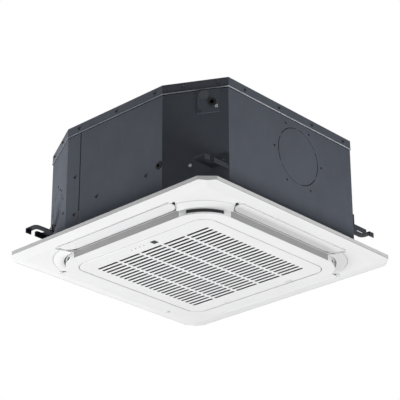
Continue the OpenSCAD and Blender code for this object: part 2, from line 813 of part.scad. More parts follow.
module motor_rotor() color("silver") ring(rotor_r, shaft_d / 2, core_low, core_high);
module motor_bearings() color("silver")
    for (z = [motor_low, motor_top - motor_wall - bearing_h]) translate([0, 0, z])
        ring(bearing_d / 2, shaft_d / 2 + shaft_gap, 0, bearing_h);
module motor_mounts() color([0.1, 0.1, 0.1]) for (a = ear_turns) rotate(a) translate([motor_ear_r, 0, 0])
    ring(mount_d / 2, bolt_d / 2 + screw_gap, motor_top, lid_under);
module motor_bolts() color("silver") for (a = ear_turns) rotate(a) translate([motor_ear_r, 0, 0]) {
    rod(bolt_d, motor_top - ear_h - bolt_head_h - overrun, casing_top + bolt_head_h / 2);
    rod(bolt_head_d, casing_top, casing_top + bolt_head_h);
    rod(bolt_head_d, motor_top - ear_h - bolt_head_h, motor_top - ear_h);
}

// Bell mouth under the fan, on the underside of the drain pan
bell_r = 138;
bell_flange_w = 12;
throat_gap = 4;
throat_lap = 4;
throat_r = eye_r - throat_gap;
flare_r = bell_r - throat_r + wall;
bell_low = casing_low - wall;
flare_z = bell_low + flare_r;
pan_hole_r = bell_r + 2;
module bell_mouth() color([0.15, 0.15, 0.16]) {
    ring(throat_r, throat_r - wall, flare_z, fan_low + throat_lap);
    rotate_extrude() intersection() {
        translate([bell_r, flare_z]) difference() {
            circle(flare_r);
            circle(flare_r - wall);
        }
        translate([bell_r - flare_r - overrun, bell_low - overrun]) square([flare_r + overrun, flare_r + overrun]);
    }
    ring(bell_r + bell_flange_w, bell_r, bell_low, casing_low);
}

// Drain pan: a gutter under the coil, four air ducts and a sump for the pump
gutter_margin = 7;
pump_deep = 54;
pump_r = pump_d / 2;
sump_r = pump_r + 3;
pump_at = deep_point(drain_site, pump_deep);
lug_clear = 1;
module drain_pan() color("whitesmoke") difference() {
    slab(casing_low, pan_top) polygon(casing_outline(inside));
    rod(2 * pan_hole_r, casing_low - overrun, pan_top + overrun, $fn = 64);
    slab(gutter_z, pan_top + overrun) {
        difference() {
            round_square(coil_half + gutter_margin, coil_r + gutter_margin);
            round_square(coil_half - coil_t - gutter_margin, coil_r - coil_t - gutter_margin);
        }
        translate([pump_at.x, pump_at.y]) circle(sump_r);
    }
    each_side() box([-deep_half, -deep_out, casing_low - overrun], [deep_half, -island_half, pan_top + overrun]);
    for (x = [-1, 1], y = [-1, 1]) at_site(corner_site(x, y, lug_s, casing_low))
        box([-lug_w / 2 - lug_clear, -overrun, -lug_deep - lug_clear],
            [lug_w / 2 + lug_clear, lug_h + lug_clear, overrun]);
    screw_holes();
}

// Drain pump in the sump, its hose, and the float beside it
pump_top = 60;
pump_foot = 6;
chamber_r = 13;
chamber_h = 12;
vane_t = 2;
pump_shaft_d = 4;
hose_d = 16;
elbow_d = 20;
hose_wall = 2;
stem_d = 6;
stem_x = -165;
stem_at = [stem_x, coil_mid, 0];
ring_d = 19;
ring_h = 14;
plate_mid = (plate_a - [end_plate_t, 0] + plate_b + [0, end_plate_t]) / 2;
rotor_tall = chamber_h - 4 * fine_gap;
module at_pump() {
    translate([pump_at.x, pump_at.y, gutter_z]) children();
}
module bar(a, b, width) {
    way = b - a;
    translate(a) rotate(atan2(way.y, way.x)) translate([0, -width / 2]) square([norm(way), width]);
}
module pump_body() color([0.85, 0.85, 0.82]) at_pump() {
    difference() {
        rod(pump_d, pump_foot, pump_top - gutter_z);
        rod(2 * chamber_r, pump_foot - overrun, pump_foot + chamber_h);
        rod(pump_shaft_d + 2 * shaft_gap, pump_foot, pump_foot + 3 * chamber_h);
    }
    for (k = [0:2]) rotate(120 * k) translate([(pump_r + chamber_r) / 2, 0, 0]) rod(pump_r - chamber_r, 0, pump_foot);
}
module pump_rotor() color("silver") at_pump() {
    rod(pump_shaft_d, pump_foot + 2 * fine_gap, pump_foot + 3 * chamber_h - fine_gap);
    rod(3 * pump_shaft_d, pump_foot + 2 * fine_gap, pump_foot + rotor_tall / 2);
    for (a = [0, 90]) rotate(a) box([vane_t - chamber_r, -vane_t / 2, pump_foot + 2 * fine_gap],
        [chamber_r - vane_t, vane_t / 2, pump_foot + rotor_tall]);
}
module pump_bracket() color("gray") {
    slab(pump_top, pump_top + end_plate_t) difference() {
        union() {
        translate([pump_at.x, pump_at.y]) circle(pump_r - hose_d / 8);
        bar(plate_mid, [pump_at.x, pump_at.y], pump_d / 2);
        bar([stem_at.x, stem_at.y], [pump_at.x, pump_at.y], 2 * stem_d);
        translate([stem_at.x, stem_at.y]) circle(stem_d);
        }
        translate(plate_mid) rotate(plate_turn) translate([-casing_half, -casing_w]) square(casing_w);
    }
    translate([plate_mid.x, plate_mid.y, 0]) rotate(plate_turn)
        box([-pump_r, 0, pump_top - pump_d / 2], [pump_r, end_plate_t, pump_top + end_plate_t]);
}
module drain_hose() color([0.2, 0.2, 0.2]) {
    translate(pump_at - [0, 0, pump_at.z]) rod(hose_d, pump_top + end_plate_t, drain_z - elbow_d / 2);
    translate(pump_at) rod(elbow_d, -elbow_d, elbow_d * 3 / 4);
    run(pump_at, deep_point(drain_site, inside), hose_d);
    at_site(drain_site) difference() {
        union() {
            rod(drain_d + 2 * neck_step, -liner_in, water_out - spigot_l);
            rod(drain_d, water_out - spigot_l, water_out);
        }
        rod(hose_d - hose_wall, -inside, water_out + overrun);
    }
}
module float_stem() color("whitesmoke") translate(stem_at) rod(stem_d, gutter_z, pump_top);
module float_ring() color("whitesmoke") translate(stem_at)
    ring(ring_d / 2, stem_d / 2 + pivot_gap, gutter_z + fine_gap, gutter_z + fine_gap + ring_h);

// Control box in the intake, open below, with its cover
box_w = 52;
box_l = 190;
box_h = 26;
box_gap = 2.75;
box_wall = 1.2;
cover_t = 1.5;
board_t = 1.6;
board_drop = 8;
board_rim = 4;
post_d = 6;
relay_shares = [[0.12, 0.3, 0.16], [0.36, 0.3, 0.12], [0.6, 0.35, 0.2]];
box_x = intake_half + wall / 2 - seat_w / 2 - box_gap;
box_low = casing_low - box_h;
board_z = casing_low - box_wall - board_drop;
module control_box() color("gainsboro") {
    difference() {
        box([box_x - box_w, -box_l / 2, box_low], [box_x, box_l / 2, casing_low]);
        box([box_x - box_w + box_wall, -box_l / 2 + box_wall, box_low - overrun],
            [box_x - box_wall, box_l / 2 - box_wall, casing_low - box_wall]);
    }
    for (x = [box_w / 5, box_w * 4 / 5], y = [-1, 1])
        translate([box_x - x, y * (box_l / 2 - 2 * post_d), 0]) rod(post_d, board_z, casing_low - box_wall);
}
module control_box_cover() color("gainsboro")
    box([box_x - box_w, -box_l / 2, box_low - cover_t], [box_x, box_l / 2, box_low]);
module control_board() color("seagreen") {
    x = box_x - box_w + board_rim;
    w = box_w - 2 * board_rim;
    l = box_l - 2 * board_rim;
    box([x, -l / 2, board_z - board_t], [x + w, l / 2, board_z]);
    for (s = relay_shares) translate([x + w / 8, -l / 2 + l * s[0], board_z - board_t - board_drop])
        cube([w * s[1], l * s[2], board_drop]);
}
module terminal_block() color([0.1, 0.1, 0.1]) {
    n = 5;
    size = [3 * post_d, 3 * board_rim * n / 2, board_drop];
    low = [box_x - board_rim - size.x, -box_l / 2 + 2 * board_rim, board_z - board_t - size.z];
    translate(low) difference() {
        cube(size);
        for (k = [0:n - 1]) translate([size.x / 2, size.y * (k + 1 / 2) / n, -overrun])
            cylinder(d = board_rim, h = size.z / 2 + overrun, $fn = 24);
    }
}

// Panel: the skin slopes from the rim down to the louvers
function cut_square(half, cut) = [[half, cut - half], [half, half - cut], [half - cut, half], [cut - half, half],
    [-half, half - cut], [-half, cut - half], [cut - half, -half], [half - cut, -half]];
function rim_cut(inset) = panel_corner - inset * (2 - sqrt(2));
module skin_profile(rise, high) {
    out = [panel_half, rim_low + rise];
    in = [skin_in, skin_z + rise];
    up = [panel_half, high + overrun];
    polygon([out, in, [-in.x, in.y], [-out.x, out.y], [-up.x, up.y], up]);
}
module skin_mass(inset, rise, high) {
    intersection() {
        slab(skin_z + rise, high) polygon(cut_square(panel_half - inset, rim_cut(inset)));
        rotate([90, 0, 0]) linear_extrude(2 * panel_w, center = true) skin_profile(rise, high);
        rotate([90, 0, 90]) linear_extrude(2 * panel_w, center = true) skin_profile(rise, high);
    }
}
// Outline of the front outlet at the skin, grown sideways and outwards
module outlet_outline(grow) {
    side = slant_share * grow;
    tip = outlet_tip + side;
    end = outlet_end + side;
    polygon([[-outlet_base - side, -island_half], [-tip, -outlet_tip_r], [-end, -skin_in - grow],
        [end, -skin_in - grow], [tip, -outlet_tip_r], [outlet_base + side, -island_half]]);
}
// What is left between the island, the outlets and the skin at the panel's corners
module corner_region(grow) difference() {
    square(2 * skin_in, center = true);
    round_square(island_half, island_r);
    each_side() outlet_outline(grow);
}
module each_arc() {
    for (side = [0:3]) rotate(90 * side) translate([arc_c, arc_c]) children();
}
module deep_slot() translate([-deep_half, -deep_out]) square([outlet_l, outlet_w]);
module deep_rim(width) translate([-deep_half - width, -deep_out - width])
    square([outlet_l + 2 * width, outlet_w + 2 * width]);
module front_pocket() {
    difference() {
        union() {
            slab(skin_z, pocket_top) difference() {
                outlet_outline(wall);
                outlet_outline(0);
            }
            slab(pocket_z, pocket_top) outlet_outline(wall / 2);
            slab(pocket_z, frame_top) deep_rim(wall);
            slab(frame_top - wall, frame_top) deep_rim(seat_w * 2 / 3);
        }
        slab(pocket_z - overrun, frame_top + overrun) deep_slot();
        slab(skin_z - overrun, pocket_z) outlet_outline(0);
    }
    nose_l = louver_l - 2 * ear_t - 2 * ear_gap;
    translate([0, -pivot_r, pivot_z]) {
        rotate([0, 90, 0]) cylinder(r = nose_r, h = nose_l, center = true, $fn = 32);
        box([-nose_l / 2, -nose_r - wall / 2, -nose_r / 2], [nose_l / 2, 0, nose_r / 2]);
        for (side = [-1, 1]) scale_x(side) box([lug_near, -nose_r - wall / 2, -pivot_rise], [lug_far, lug_rise, lug_rise]);
        translate([lug_far - overrun, 0, 0]) rotate([0, 90, 0])
            cylinder(r = boss_r, h = boss_far - lug_far + overrun, $fn = 32);
    }
}
// Mirrors its children to the left where the side is -1
module scale_x(side) {
    mirror([side < 0 ? 1 : 0, 0, 0]) children();
}
module front_bores() translate([0, -pivot_r, pivot_z]) rotate([0, 90, 0])
    for (high = [-lug_near + overrun, boss_far + overrun]) translate([0, 0, high])
        mirror([0, 0, 1]) cylinder(d = pivot_d + 2 * pivot_gap,
            h = (high < 0 ? lug_plate : boss_far - lug_near) + 2 * overrun, $fn = 32);
module recess() {
    slab(recess_z, recess_z + wall) intersection() {
        corner_region(wall / 2);
        each_arc() circle(recess_r + wall);
    }
    slab(skin_z, recess_z + wall) intersection() {
        corner_region(wall / 2);
        each_arc() difference() {
            circle(recess_r + wall);
            circle(recess_r);
        }
    }
    each_panel_screw() rod(2 * screw_boss_r, recess_z, frame_top);
}
// The grille door hangs on two arms that reach over the opening's edge to pins behind it
hinge_out = 14;
hinge_h = 8;
hinge_x = 120;
hinge_arm_w = 4;
hinge_arm_t = 3;
hinge_pin_d = 3;
hinge_eye_d = 8;
hinge_cheek_t = 3;
hinge_side_gap = 0.4;
hinge_clear = 1;
hinge_y = -grille_w / 2 - hinge_out;
hinge_z = face_z + hinge_h;
hinge_slot_half = hinge_arm_w / 2 + hinge_side_gap;
arm_in = norm([opening_half + hinge_y, hinge_h]) + hinge_clear;
arm_out = arm_in + hinge_arm_t;
module hinge_lugs() for (x = [-hinge_x, hinge_x]) translate([x, hinge_y, hinge_z]) {
    for (side = [-1, 1]) scale_x(side) box([hinge_slot_half, -hinge_eye_d / 2, wall / 2 - hinge_h],
        [hinge_slot_half + hinge_cheek_t, -intake_half - wall / 2 - hinge_y, hinge_eye_d / 2]);
    rotate([0, 90, 0]) cylinder(d = hinge_pin_d, h = 2 * hinge_slot_half + hinge_cheek_t, center = true, $fn = 32);
}
module hinge_slots() for (x = [-hinge_x, hinge_x])
    box([x - hinge_slot_half, -intake_half - wall - overrun, face_z + wall],
        [x + hinge_slot_half, -intake_half + overrun, hinge_z + arm_out + hinge_clear]);
module hinge_arms() for (x = [-hinge_x, hinge_x]) translate([x, hinge_y, hinge_z]) rotate([90, 0, 90]) {
    linear_extrude(hinge_arm_w, center = true) polygon([[-hinge_arm_t / 2, 0], [hinge_arm_t / 2, 0],
        [hinge_arm_t / 2, arm_in], [arm_in, arm_in], [arm_in, wall / 2 - hinge_h],
        [arm_out, wall / 2 - hinge_h], [arm_out, arm_out], [-hinge_arm_t / 2, arm_out]]);
    cylinder(d = hinge_eye_d, h = hinge_arm_w, center = true, $fn = 32);
}
module panel_frame() color([0.94, 0.94, 0.95]) difference() {
    union() {
        difference() {
            skin_mass(0, 0, ceiling_z);
            skin_mass(wall, wall, ceiling_z + overrun);
            slab(skin_z - overrun, ceiling_z) {
                round_square(island_half - wall / 2, island_r - wall / 2);
                each_side() outlet_outline(0);
                each_arc() circle(recess_r);
            }
        }
        intersection() {
            skin_mass(0, 0, frame_top);
            union() {
                each_side() front_pocket();
                recess();
            }
        }
        square_ring(island_half, island_r, wall, face_z, frame_top);
        slab(face_z, face_z + wall) difference() {
            round_square(island_half - wall / 2, island_r - wall / 2);
            round_square(opening_half, opening_r);
        }
        square_ring(intake_half + wall, intake_r + wall, wall, face_z + wall / 2, frame_top);
        square_ring(intake_half + wall / 2 + seat_w / 2, intake_r + wall / 2 + seat_w / 2, seat_w,
            frame_top - wall, frame_top);
        hinge_lugs();
    }
    slab(face_z + corner_lip_h, face_z + corner_lip_h + corner_slot_h) each_arc() corner_window(corner_slot_deg);
    each_side() front_bores();
    each_panel_screw() rod(panel_screw_d + 2 * screw_gap, skin_z, frame_top + overrun);
    hinge_slots();
    for (side = [-1, 1]) translate([side * latch_x, 0, face_z + wall])
        box([-latch_w / 2 - latch_gap, opening_half - overrun, 0],
            [latch_w / 2 + latch_gap, intake_half + wall + overrun, latch_window_h]);
}
// Wedge through the island's rounded corner, on its diagonal
module corner_window(half_deg) {
    far = island_r + overrun;
    near = island_r - 2 * wall;
    polygon([near * [cos(45 - half_deg), sin(45 - half_deg)], far / cos(half_deg) * [cos(45 - half_deg),
        sin(45 - half_deg)], far / cos(half_deg) * [cos(45 + half_deg), sin(45 + half_deg)],
        near * [cos(45 + half_deg), sin(45 + half_deg)]]);
}
module panel_gasket() color([0.2, 0.2, 0.2]) {
    w = seat_w - 2 * seat_margin;
    half = intake_half + wall / 2 + w / 2;
    r = intake_r + wall / 2 + w / 2;
    lap = seat_w * 2 / 3 - seat_margin;
    each_side() slab(frame_top, casing_low) {
        translate([r - half, -half]) square([2 * (half - r), w]);
        translate([half - r, r - half]) intersection() {
            difference() {
                circle(r);
                circle(r - w);
            }
            translate([0, -half]) square(half);
        }
        for (y = [-deep_out - lap, outlet_w - deep_out]) translate([-deep_half - lap, y])
            square([outlet_l + 2 * lap, lap]);
        for (x = [-deep_half - lap, deep_half]) translate([x, -deep_out]) square([lap, outlet_w]);
    }
}
// Dark inserts behind the slots in the island's corners
insert_w = 17;
insert_lap = 6;
insert_rise = 2.5;
module slot_inserts() color([0.15, 0.15, 0.16]) slab(face_z + wall, face_z + corner_lip_h + corner_slot_h + insert_rise)
    each_arc() intersection() {
        difference() {
            circle(island_r - wall);
            circle(island_r - wall - insert_w);
        }
        rotate(45 - corner_slot_deg - insert_lap) pie(2 * (corner_slot_deg + insert_lap));
    }
module pie(deg) {
    r = 2 * island_r;
    polygon([[0, 0], [r, 0], r * [cos(deg / 2), sin(deg / 2)] * 2, r * [cos(deg), sin(deg)]]);
}
module corner_cover(turn) color([0.92, 0.92, 0.93]) rotate(turn) intersection() {
    translate([arc_c, arc_c, 0]) rotate_extrude($fn = 128) {
        low = skin_z - cover_drop;
        polygon([[cover_in_r, low], [cover_r, skin_z], [cover_r, skin_z + wall], [cover_in_r + wall, low + wall],
            [cover_in_r + wall, recess_z - fine_gap], [cover_in_r, recess_z - fine_gap]]);
    }
    slab(face_z, frame_top) intersection() {
        corner_region(wall + cover_gap);
        translate([arc_c / 2, arc_c / 2]) square(panel_w);
    }
}

// Louvers: each swings on two pins at its outer edge
module louver(side) color([0.93, 0.93, 0.94]) rotate(90 * side) translate([0, -pivot_r, pivot_z])
    rotate([louver_rest - louver_slope, 0, 0]) {
        slab(-blade_drop - louver_t, -blade_drop) {
            translate([-louver_l / 2, -blade_lap]) square([louver_l, louver_w - louver_r + blade_lap]);
            translate([louver_r - louver_l / 2, 0]) square([louver_l - 2 * louver_r, louver_w]);
            intersection() {
                for (x = [-1, 1]) translate([x * (louver_l / 2 - louver_r), louver_w - louver_r]) circle(louver_r);
                translate([-louver_l / 2, 0]) square([louver_l, louver_w]);
            }
        }
        for (x = [-1, 1]) scale_x(x) {
            translate([louver_l / 2 - ear_t, 0, 0]) rotate([90, 0, 90]) linear_extrude(ear_t) {
                circle(pivot_d / 2 + ear_rim, $fn = 32);
                translate([-blade_lap, -blade_drop - louver_t / 2])
                    square([blade_lap + pivot_d / 2 + ear_rim, blade_drop + louver_t / 2]);
            }
            translate([louver_l / 2 - ear_t / 2, 0, 0]) rotate([0, 90, 0]) cylinder(d = pivot_d, $fn = 32,
                h = (x < 0 ? lug_far : boss_far - fine_gap) - louver_l / 2 + ear_t / 2);
        }
    }
module louver_motors() color([0.2, 0.2, 0.22]) each_side() translate([boss_far, -pivot_r, pivot_z + motor_lift])
    rotate([0, 90, 0]) cylinder(d = louver_motor_d, h = louver_motor_l);

// Grille door, hinged at its front edge, with the filter, latches, receiver and lamps on it
grille_half = grille_w / 2;
display_post_d = 3;
rim_t = 2;
filter_half = 194;
filter_back = 181;
filter_front = -168;
filter_gap = 3;
filter_frame = 7;
filter_bars = 4;
net_t = 0.6;
slot_taper = 2.2;
latch_gap = 1;
latch_t = 2;
latch_l = 20;
latch_window_h = 4.5;
latch_tab_w = 16;
latch_tab_t = 4;
latch_tab_proud = 0.8;
latch_tab_in = 12;
latch_strap_w = 4;
latch_strap_in = 19;
latch_play = 0.4;
latch_y = grille_half - 1 / 2 * latch_gap;
window_y = -185;
window_fit = 0.2;
lamp_d = 3;
lamp_pitch = 13;
lamp_y = -188;
lamp_x = -37;
lamp_count = 4;
display_x = [-46, 50];
display_y = [-197, -174];
display_rise = 6;
tab_window = [latch_tab_w + 2 * latch_gap, latch_tab_t + latch_travel + 2 * latch_gap];
tab_y = latch_y - latch_tab_in;
slot_columns_half = (slot_columns - 1) * slot_column_pitch / 2 + slot_l / 2;
slot_rows_half = (slot_rows - 1) * slot_pitch / 2 + slot_w / 2;
field_margin = 2;
module slot_shape() {
    x = slot_l / 2;
    y = slot_w / 2;
    polygon([[-x, -y + slot_taper], [slot_taper - x, -y], [x - slot_taper, -y], [x, -y + slot_taper],
        [x, y - slot_taper], [x - slot_taper, y], [slot_taper - x, y], [-x, y - slot_taper]]);
}
module bevelled_plate() {
    profile = [[-grille_half, face_z + grille_bevel], [-grille_half + grille_bevel, face_z],
        [grille_half - grille_bevel, face_z], [grille_half, face_z + grille_bevel],
        [grille_half, face_z + wall], [-grille_half, face_z + wall]];
    intersection() {
        slab(face_z, face_z + wall) round_square(grille_half, grille_r);
        rotate([90, 0, 0]) linear_extrude(grille_w, center = true) polygon(profile);
        rotate([90, 0, 90]) linear_extrude(grille_w, center = true) polygon(profile);
    }
}
module filter_area(grow) {
    translate([-filter_half - grow, filter_front - grow])
        square([2 * (filter_half + grow), filter_back - filter_front + 2 * grow]);
}
module at_latch(side) {
    translate([side * latch_x, 0, face_z + wall + fine_gap]) children();
}
module intake_grille() color([0.93, 0.93, 0.94]) difference() {
    top = face_z + wall;
    union() {
        bevelled_plate();
        slab(top - wall / 2, top + grille_rim_h) difference() {
            filter_area(filter_gap + rim_t);
            filter_area(filter_gap);
        }
        hinge_arms();
        for (side = [-1, 1]) at_latch(side) for (edge = [-1, 1]) scale_x(edge) {
            y = latch_y - latch_strap_in;
            box([latch_w / 2 + latch_play, y, -wall / 2], [latch_w / 2 + latch_play + rim_t, y + latch_strap_w,
                latch_t + latch_play]);
            box([0, y, latch_t + latch_play], [latch_w / 2 + latch_play + rim_t, y + latch_strap_w,
                latch_t + latch_play + rim_t]);
        }
        for (x = display_x) translate([x - sign(x) * display_post_d, (display_y[0] + display_y[1]) / 2, 0])
            rod(display_post_d, top - wall / 2, top + display_rise - board_t);
    }
    slab(face_z - overrun, top + overrun / 2) {
        for (column = [0:slot_columns - 1], row = [0:slot_rows - 1])
            translate([(column - (slot_columns - 1) / 2) * slot_column_pitch,
                (row - (slot_rows - 1) / 2) * slot_pitch]) slot_shape();
        translate([window_x, window_y]) square(window_w + 2 * window_fit, center = true);
        for (k = [0:lamp_count - 1]) translate([lamp_x + k * lamp_pitch, lamp_y])
            circle(d = lamp_d + 2 * screw_gap, $fn = 24);
        for (side = [-1, 1]) translate([side * latch_x - tab_window.x / 2, tab_y - latch_gap]) square(tab_window);
    }
    slab(face_z + grille_field_t, top + overrun / 2)
        square([2 * (slot_columns_half + field_margin), 2 * (slot_rows_half + field_margin)], center = true);
    for (x = [-hinge_x, hinge_x]) translate([x, hinge_y, hinge_z]) rotate([0, 90, 0])
        cylinder(d = hinge_pin_d + 2 * pivot_gap, h = 2 * hinge_arm_w, center = true, $fn = 32);
}
module air_filter() color([0.3, 0.3, 0.32]) {
    low = face_z + wall;
    slab(low, low + filter_t) difference() {
        filter_area(0);
        filter_area(-filter_frame);
    }
    slab(low + filter_t - net_t, low + filter_t) filter_area(-filter_frame / 2);
    for (k = [1:filter_bars]) translate([(k / (filter_bars + 1) - 1 / 2) * 2 * filter_half, 0, 0])
        box([-rim_t, filter_front + filter_frame / 2, low], [rim_t, filter_back - filter_frame / 2, low + filter_t]);
}
module latch(side) color([0.9, 0.9, 0.91]) at_latch(side) {
    box([-latch_w / 2, latch_y - latch_l, 0], [latch_w / 2, latch_y, latch_t]);
    box([-latch_tab_w / 2, tab_y, -fine_gap - wall - latch_tab_proud], [latch_tab_w / 2, tab_y + latch_tab_t, latch_t]);
}
module receiver_window() color([0.1, 0.1, 0.12]) translate([window_x, window_y, 0]) {
    slab(face_z, face_z + wall) square(window_w, center = true);
    slab(face_z + wall, face_z + wall + rim_t) square(window_w + 2 * rim_t, center = true);
}
module status_lamps() color([0.3, 0.7, 0.4]) for (k = [0:lamp_count - 1])
    translate([lamp_x + k * lamp_pitch, lamp_y, 0]) rod(lamp_d, face_z, face_z + wall + display_rise - board_t);
module display_board() color("seagreen") box([display_x[0], display_y[0], face_z + wall + display_rise - board_t],
    [display_x[1], display_y[1], face_z + wall + display_rise]);

top_cover();
casing_wrap_left();
casing_wrap_right();
casing_liner();
lid_liner();
hanger_brackets();
panel_lugs();
casing_screws();
service_plate();
service_plug();
grommets();
coil_fins();
coil_bends();
coil_end_plates();
inlet_header();
outlet_header();
vent_screw();
closing_plate();
fan_impeller();
fan_nut();
motor_case();
motor_stator();
motor_rotor();
motor_shaft();
motor_bearings();
motor_mounts();
motor_bolts();
bell_mouth();
drain_pan();
pump_body();
pump_rotor();
pump_bracket();
drain_hose();
float_stem();
float_ring();
control_box();
control_box_cover();
control_board();
terminal_block();
panel_frame();
panel_gasket();
corner_cover(180);  // corner_cover_front_left
corner_cover(270);  // corner_cover_front_right
corner_cover(0);  // corner_cover_back_right
corner_cover(90);  // corner_cover_back_left
louver(0);  // louver_front
louver(1);  // louver_right
louver(2);  // louver_back
louver(3);  // louver_left
louver_motors();
slot_inserts();
panel_screws();
intake_grille();
air_filter();
latch(-1);  // latch_left
latch(1);  // latch_right
receiver_window();
status_lamps();
display_board();
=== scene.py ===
"""Looks of the ceiling cassette fan coil unit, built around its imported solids.

Everything is in metres, in the frame of the solids: front is -Y, right is +X and +Z is up. The origin is the
centre of the four hanger slots, on the seat of the hanging rods' nuts.
"""

import logging
import math
from dataclasses import dataclass, field
from enum import Enum
from functools import cached_property
from typing import Iterable, Sequence

import bmesh
import bpy
from mathutils import Matrix, Vector


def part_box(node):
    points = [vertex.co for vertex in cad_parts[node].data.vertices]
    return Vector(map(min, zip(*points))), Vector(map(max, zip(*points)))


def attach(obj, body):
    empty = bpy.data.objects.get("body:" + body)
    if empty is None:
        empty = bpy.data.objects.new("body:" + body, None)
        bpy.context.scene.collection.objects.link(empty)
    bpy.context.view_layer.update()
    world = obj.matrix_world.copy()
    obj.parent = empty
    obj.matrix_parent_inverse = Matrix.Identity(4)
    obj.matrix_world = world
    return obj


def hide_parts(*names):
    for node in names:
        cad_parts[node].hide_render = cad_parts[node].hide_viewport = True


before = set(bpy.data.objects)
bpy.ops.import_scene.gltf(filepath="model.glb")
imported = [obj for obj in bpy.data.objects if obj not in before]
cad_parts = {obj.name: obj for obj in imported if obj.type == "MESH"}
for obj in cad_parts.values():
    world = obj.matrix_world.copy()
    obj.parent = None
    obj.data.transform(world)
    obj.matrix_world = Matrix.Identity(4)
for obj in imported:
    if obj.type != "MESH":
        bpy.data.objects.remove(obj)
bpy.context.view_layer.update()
LOG = logging.getLogger("cassette_unit")
Colour = tuple[float, float, float]
Spot = tuple[float, float, float]
Span = tuple[float, float]
Seat = tuple[Vector, Vector]
Socket = bpy.types.NodeSocket


class Axis(Enum):
    """The way that a grain, a streak or a thread runs."""

    X = (8.0, 1.0, 1.0)
    Y = (1.0, 8.0, 1.0)
    Z = (1.0, 1.0, 8.0)
    NONE = (1.0, 1.0, 1.0)


class Body(str, Enum):
    """The moving groups that new pieces ride on."""

    UNIT = "unit"
    GRILLE = "grille"


# Node trees


class Tree:
    """A node tree under construction, for a material, the world or geometry."""

    def __init__(self, tree: bpy.types.NodeTree) -> None:
        """Starts from an empty tree.

        Args:
            tree: the tree to fill.
        """
        self.tree = tree
        tree.nodes.clear()

    def fill(self, socket: Socket, value: object) -> None:
        """Gives an input its value, or a link from another node's output.

        Args:
            socket: the input.
            value: its value, or the output that it is linked to.
        """
        if isinstance(value, Socket):
            self.tree.links.new(value, socket)
        else:
            socket.default_value = value

    def add(self, kind: str, inputs: dict | None = None, **settings: object) -> bpy.types.Node:
        """Adds one node.

        Args:
            kind: the node's type name.
            inputs: a value or another node's output for each named or numbered input.
            settings: properties of the node.

        Returns:
            The new node.
        """
        node = self.tree.nodes.new(kind)
        for key, value in settings.items():
            setattr(node, key, value)
        for key, value in (inputs or {}).items():
            self.fill(node.inputs[key], value)
        return node

    def out(self, kind: str, inputs: dict | None = None, **settings: object) -> Socket:
        """Adds one node, as add does, and gives its first output."""
        return self.add(kind, inputs, **settings).outputs[0]

    def maths(self, operation: str, a: object, b: object = 0.0) -> Socket:
        """One step of arithmetic.

        Args:
            operation: the name of the sum.
            a: its first value or socket.
            b: its second value or socket.

        Returns:
            The result's socket.
        """
        return self.out("ShaderNodeMath", {0: a, 1: b}, operation=operation)

    def times(self, a: object, b: object) -> Socket:
        """The product of two values or sockets."""
        return self.maths("MULTIPLY", a, b)

    def length(self, vector: Socket) -> Socket:
        """How long a vector is."""
        return self.add("ShaderNodeVectorMath", {0: vector}, operation="LENGTH").outputs[1]

    def move(self, x: object = 0.0, y: object = 0.0, z: object = 0.0) -> Socket:
        """A vector from three values or sockets."""
        return self.out("ShaderNodeCombineXYZ", {0: x, 1: y, 2: z})


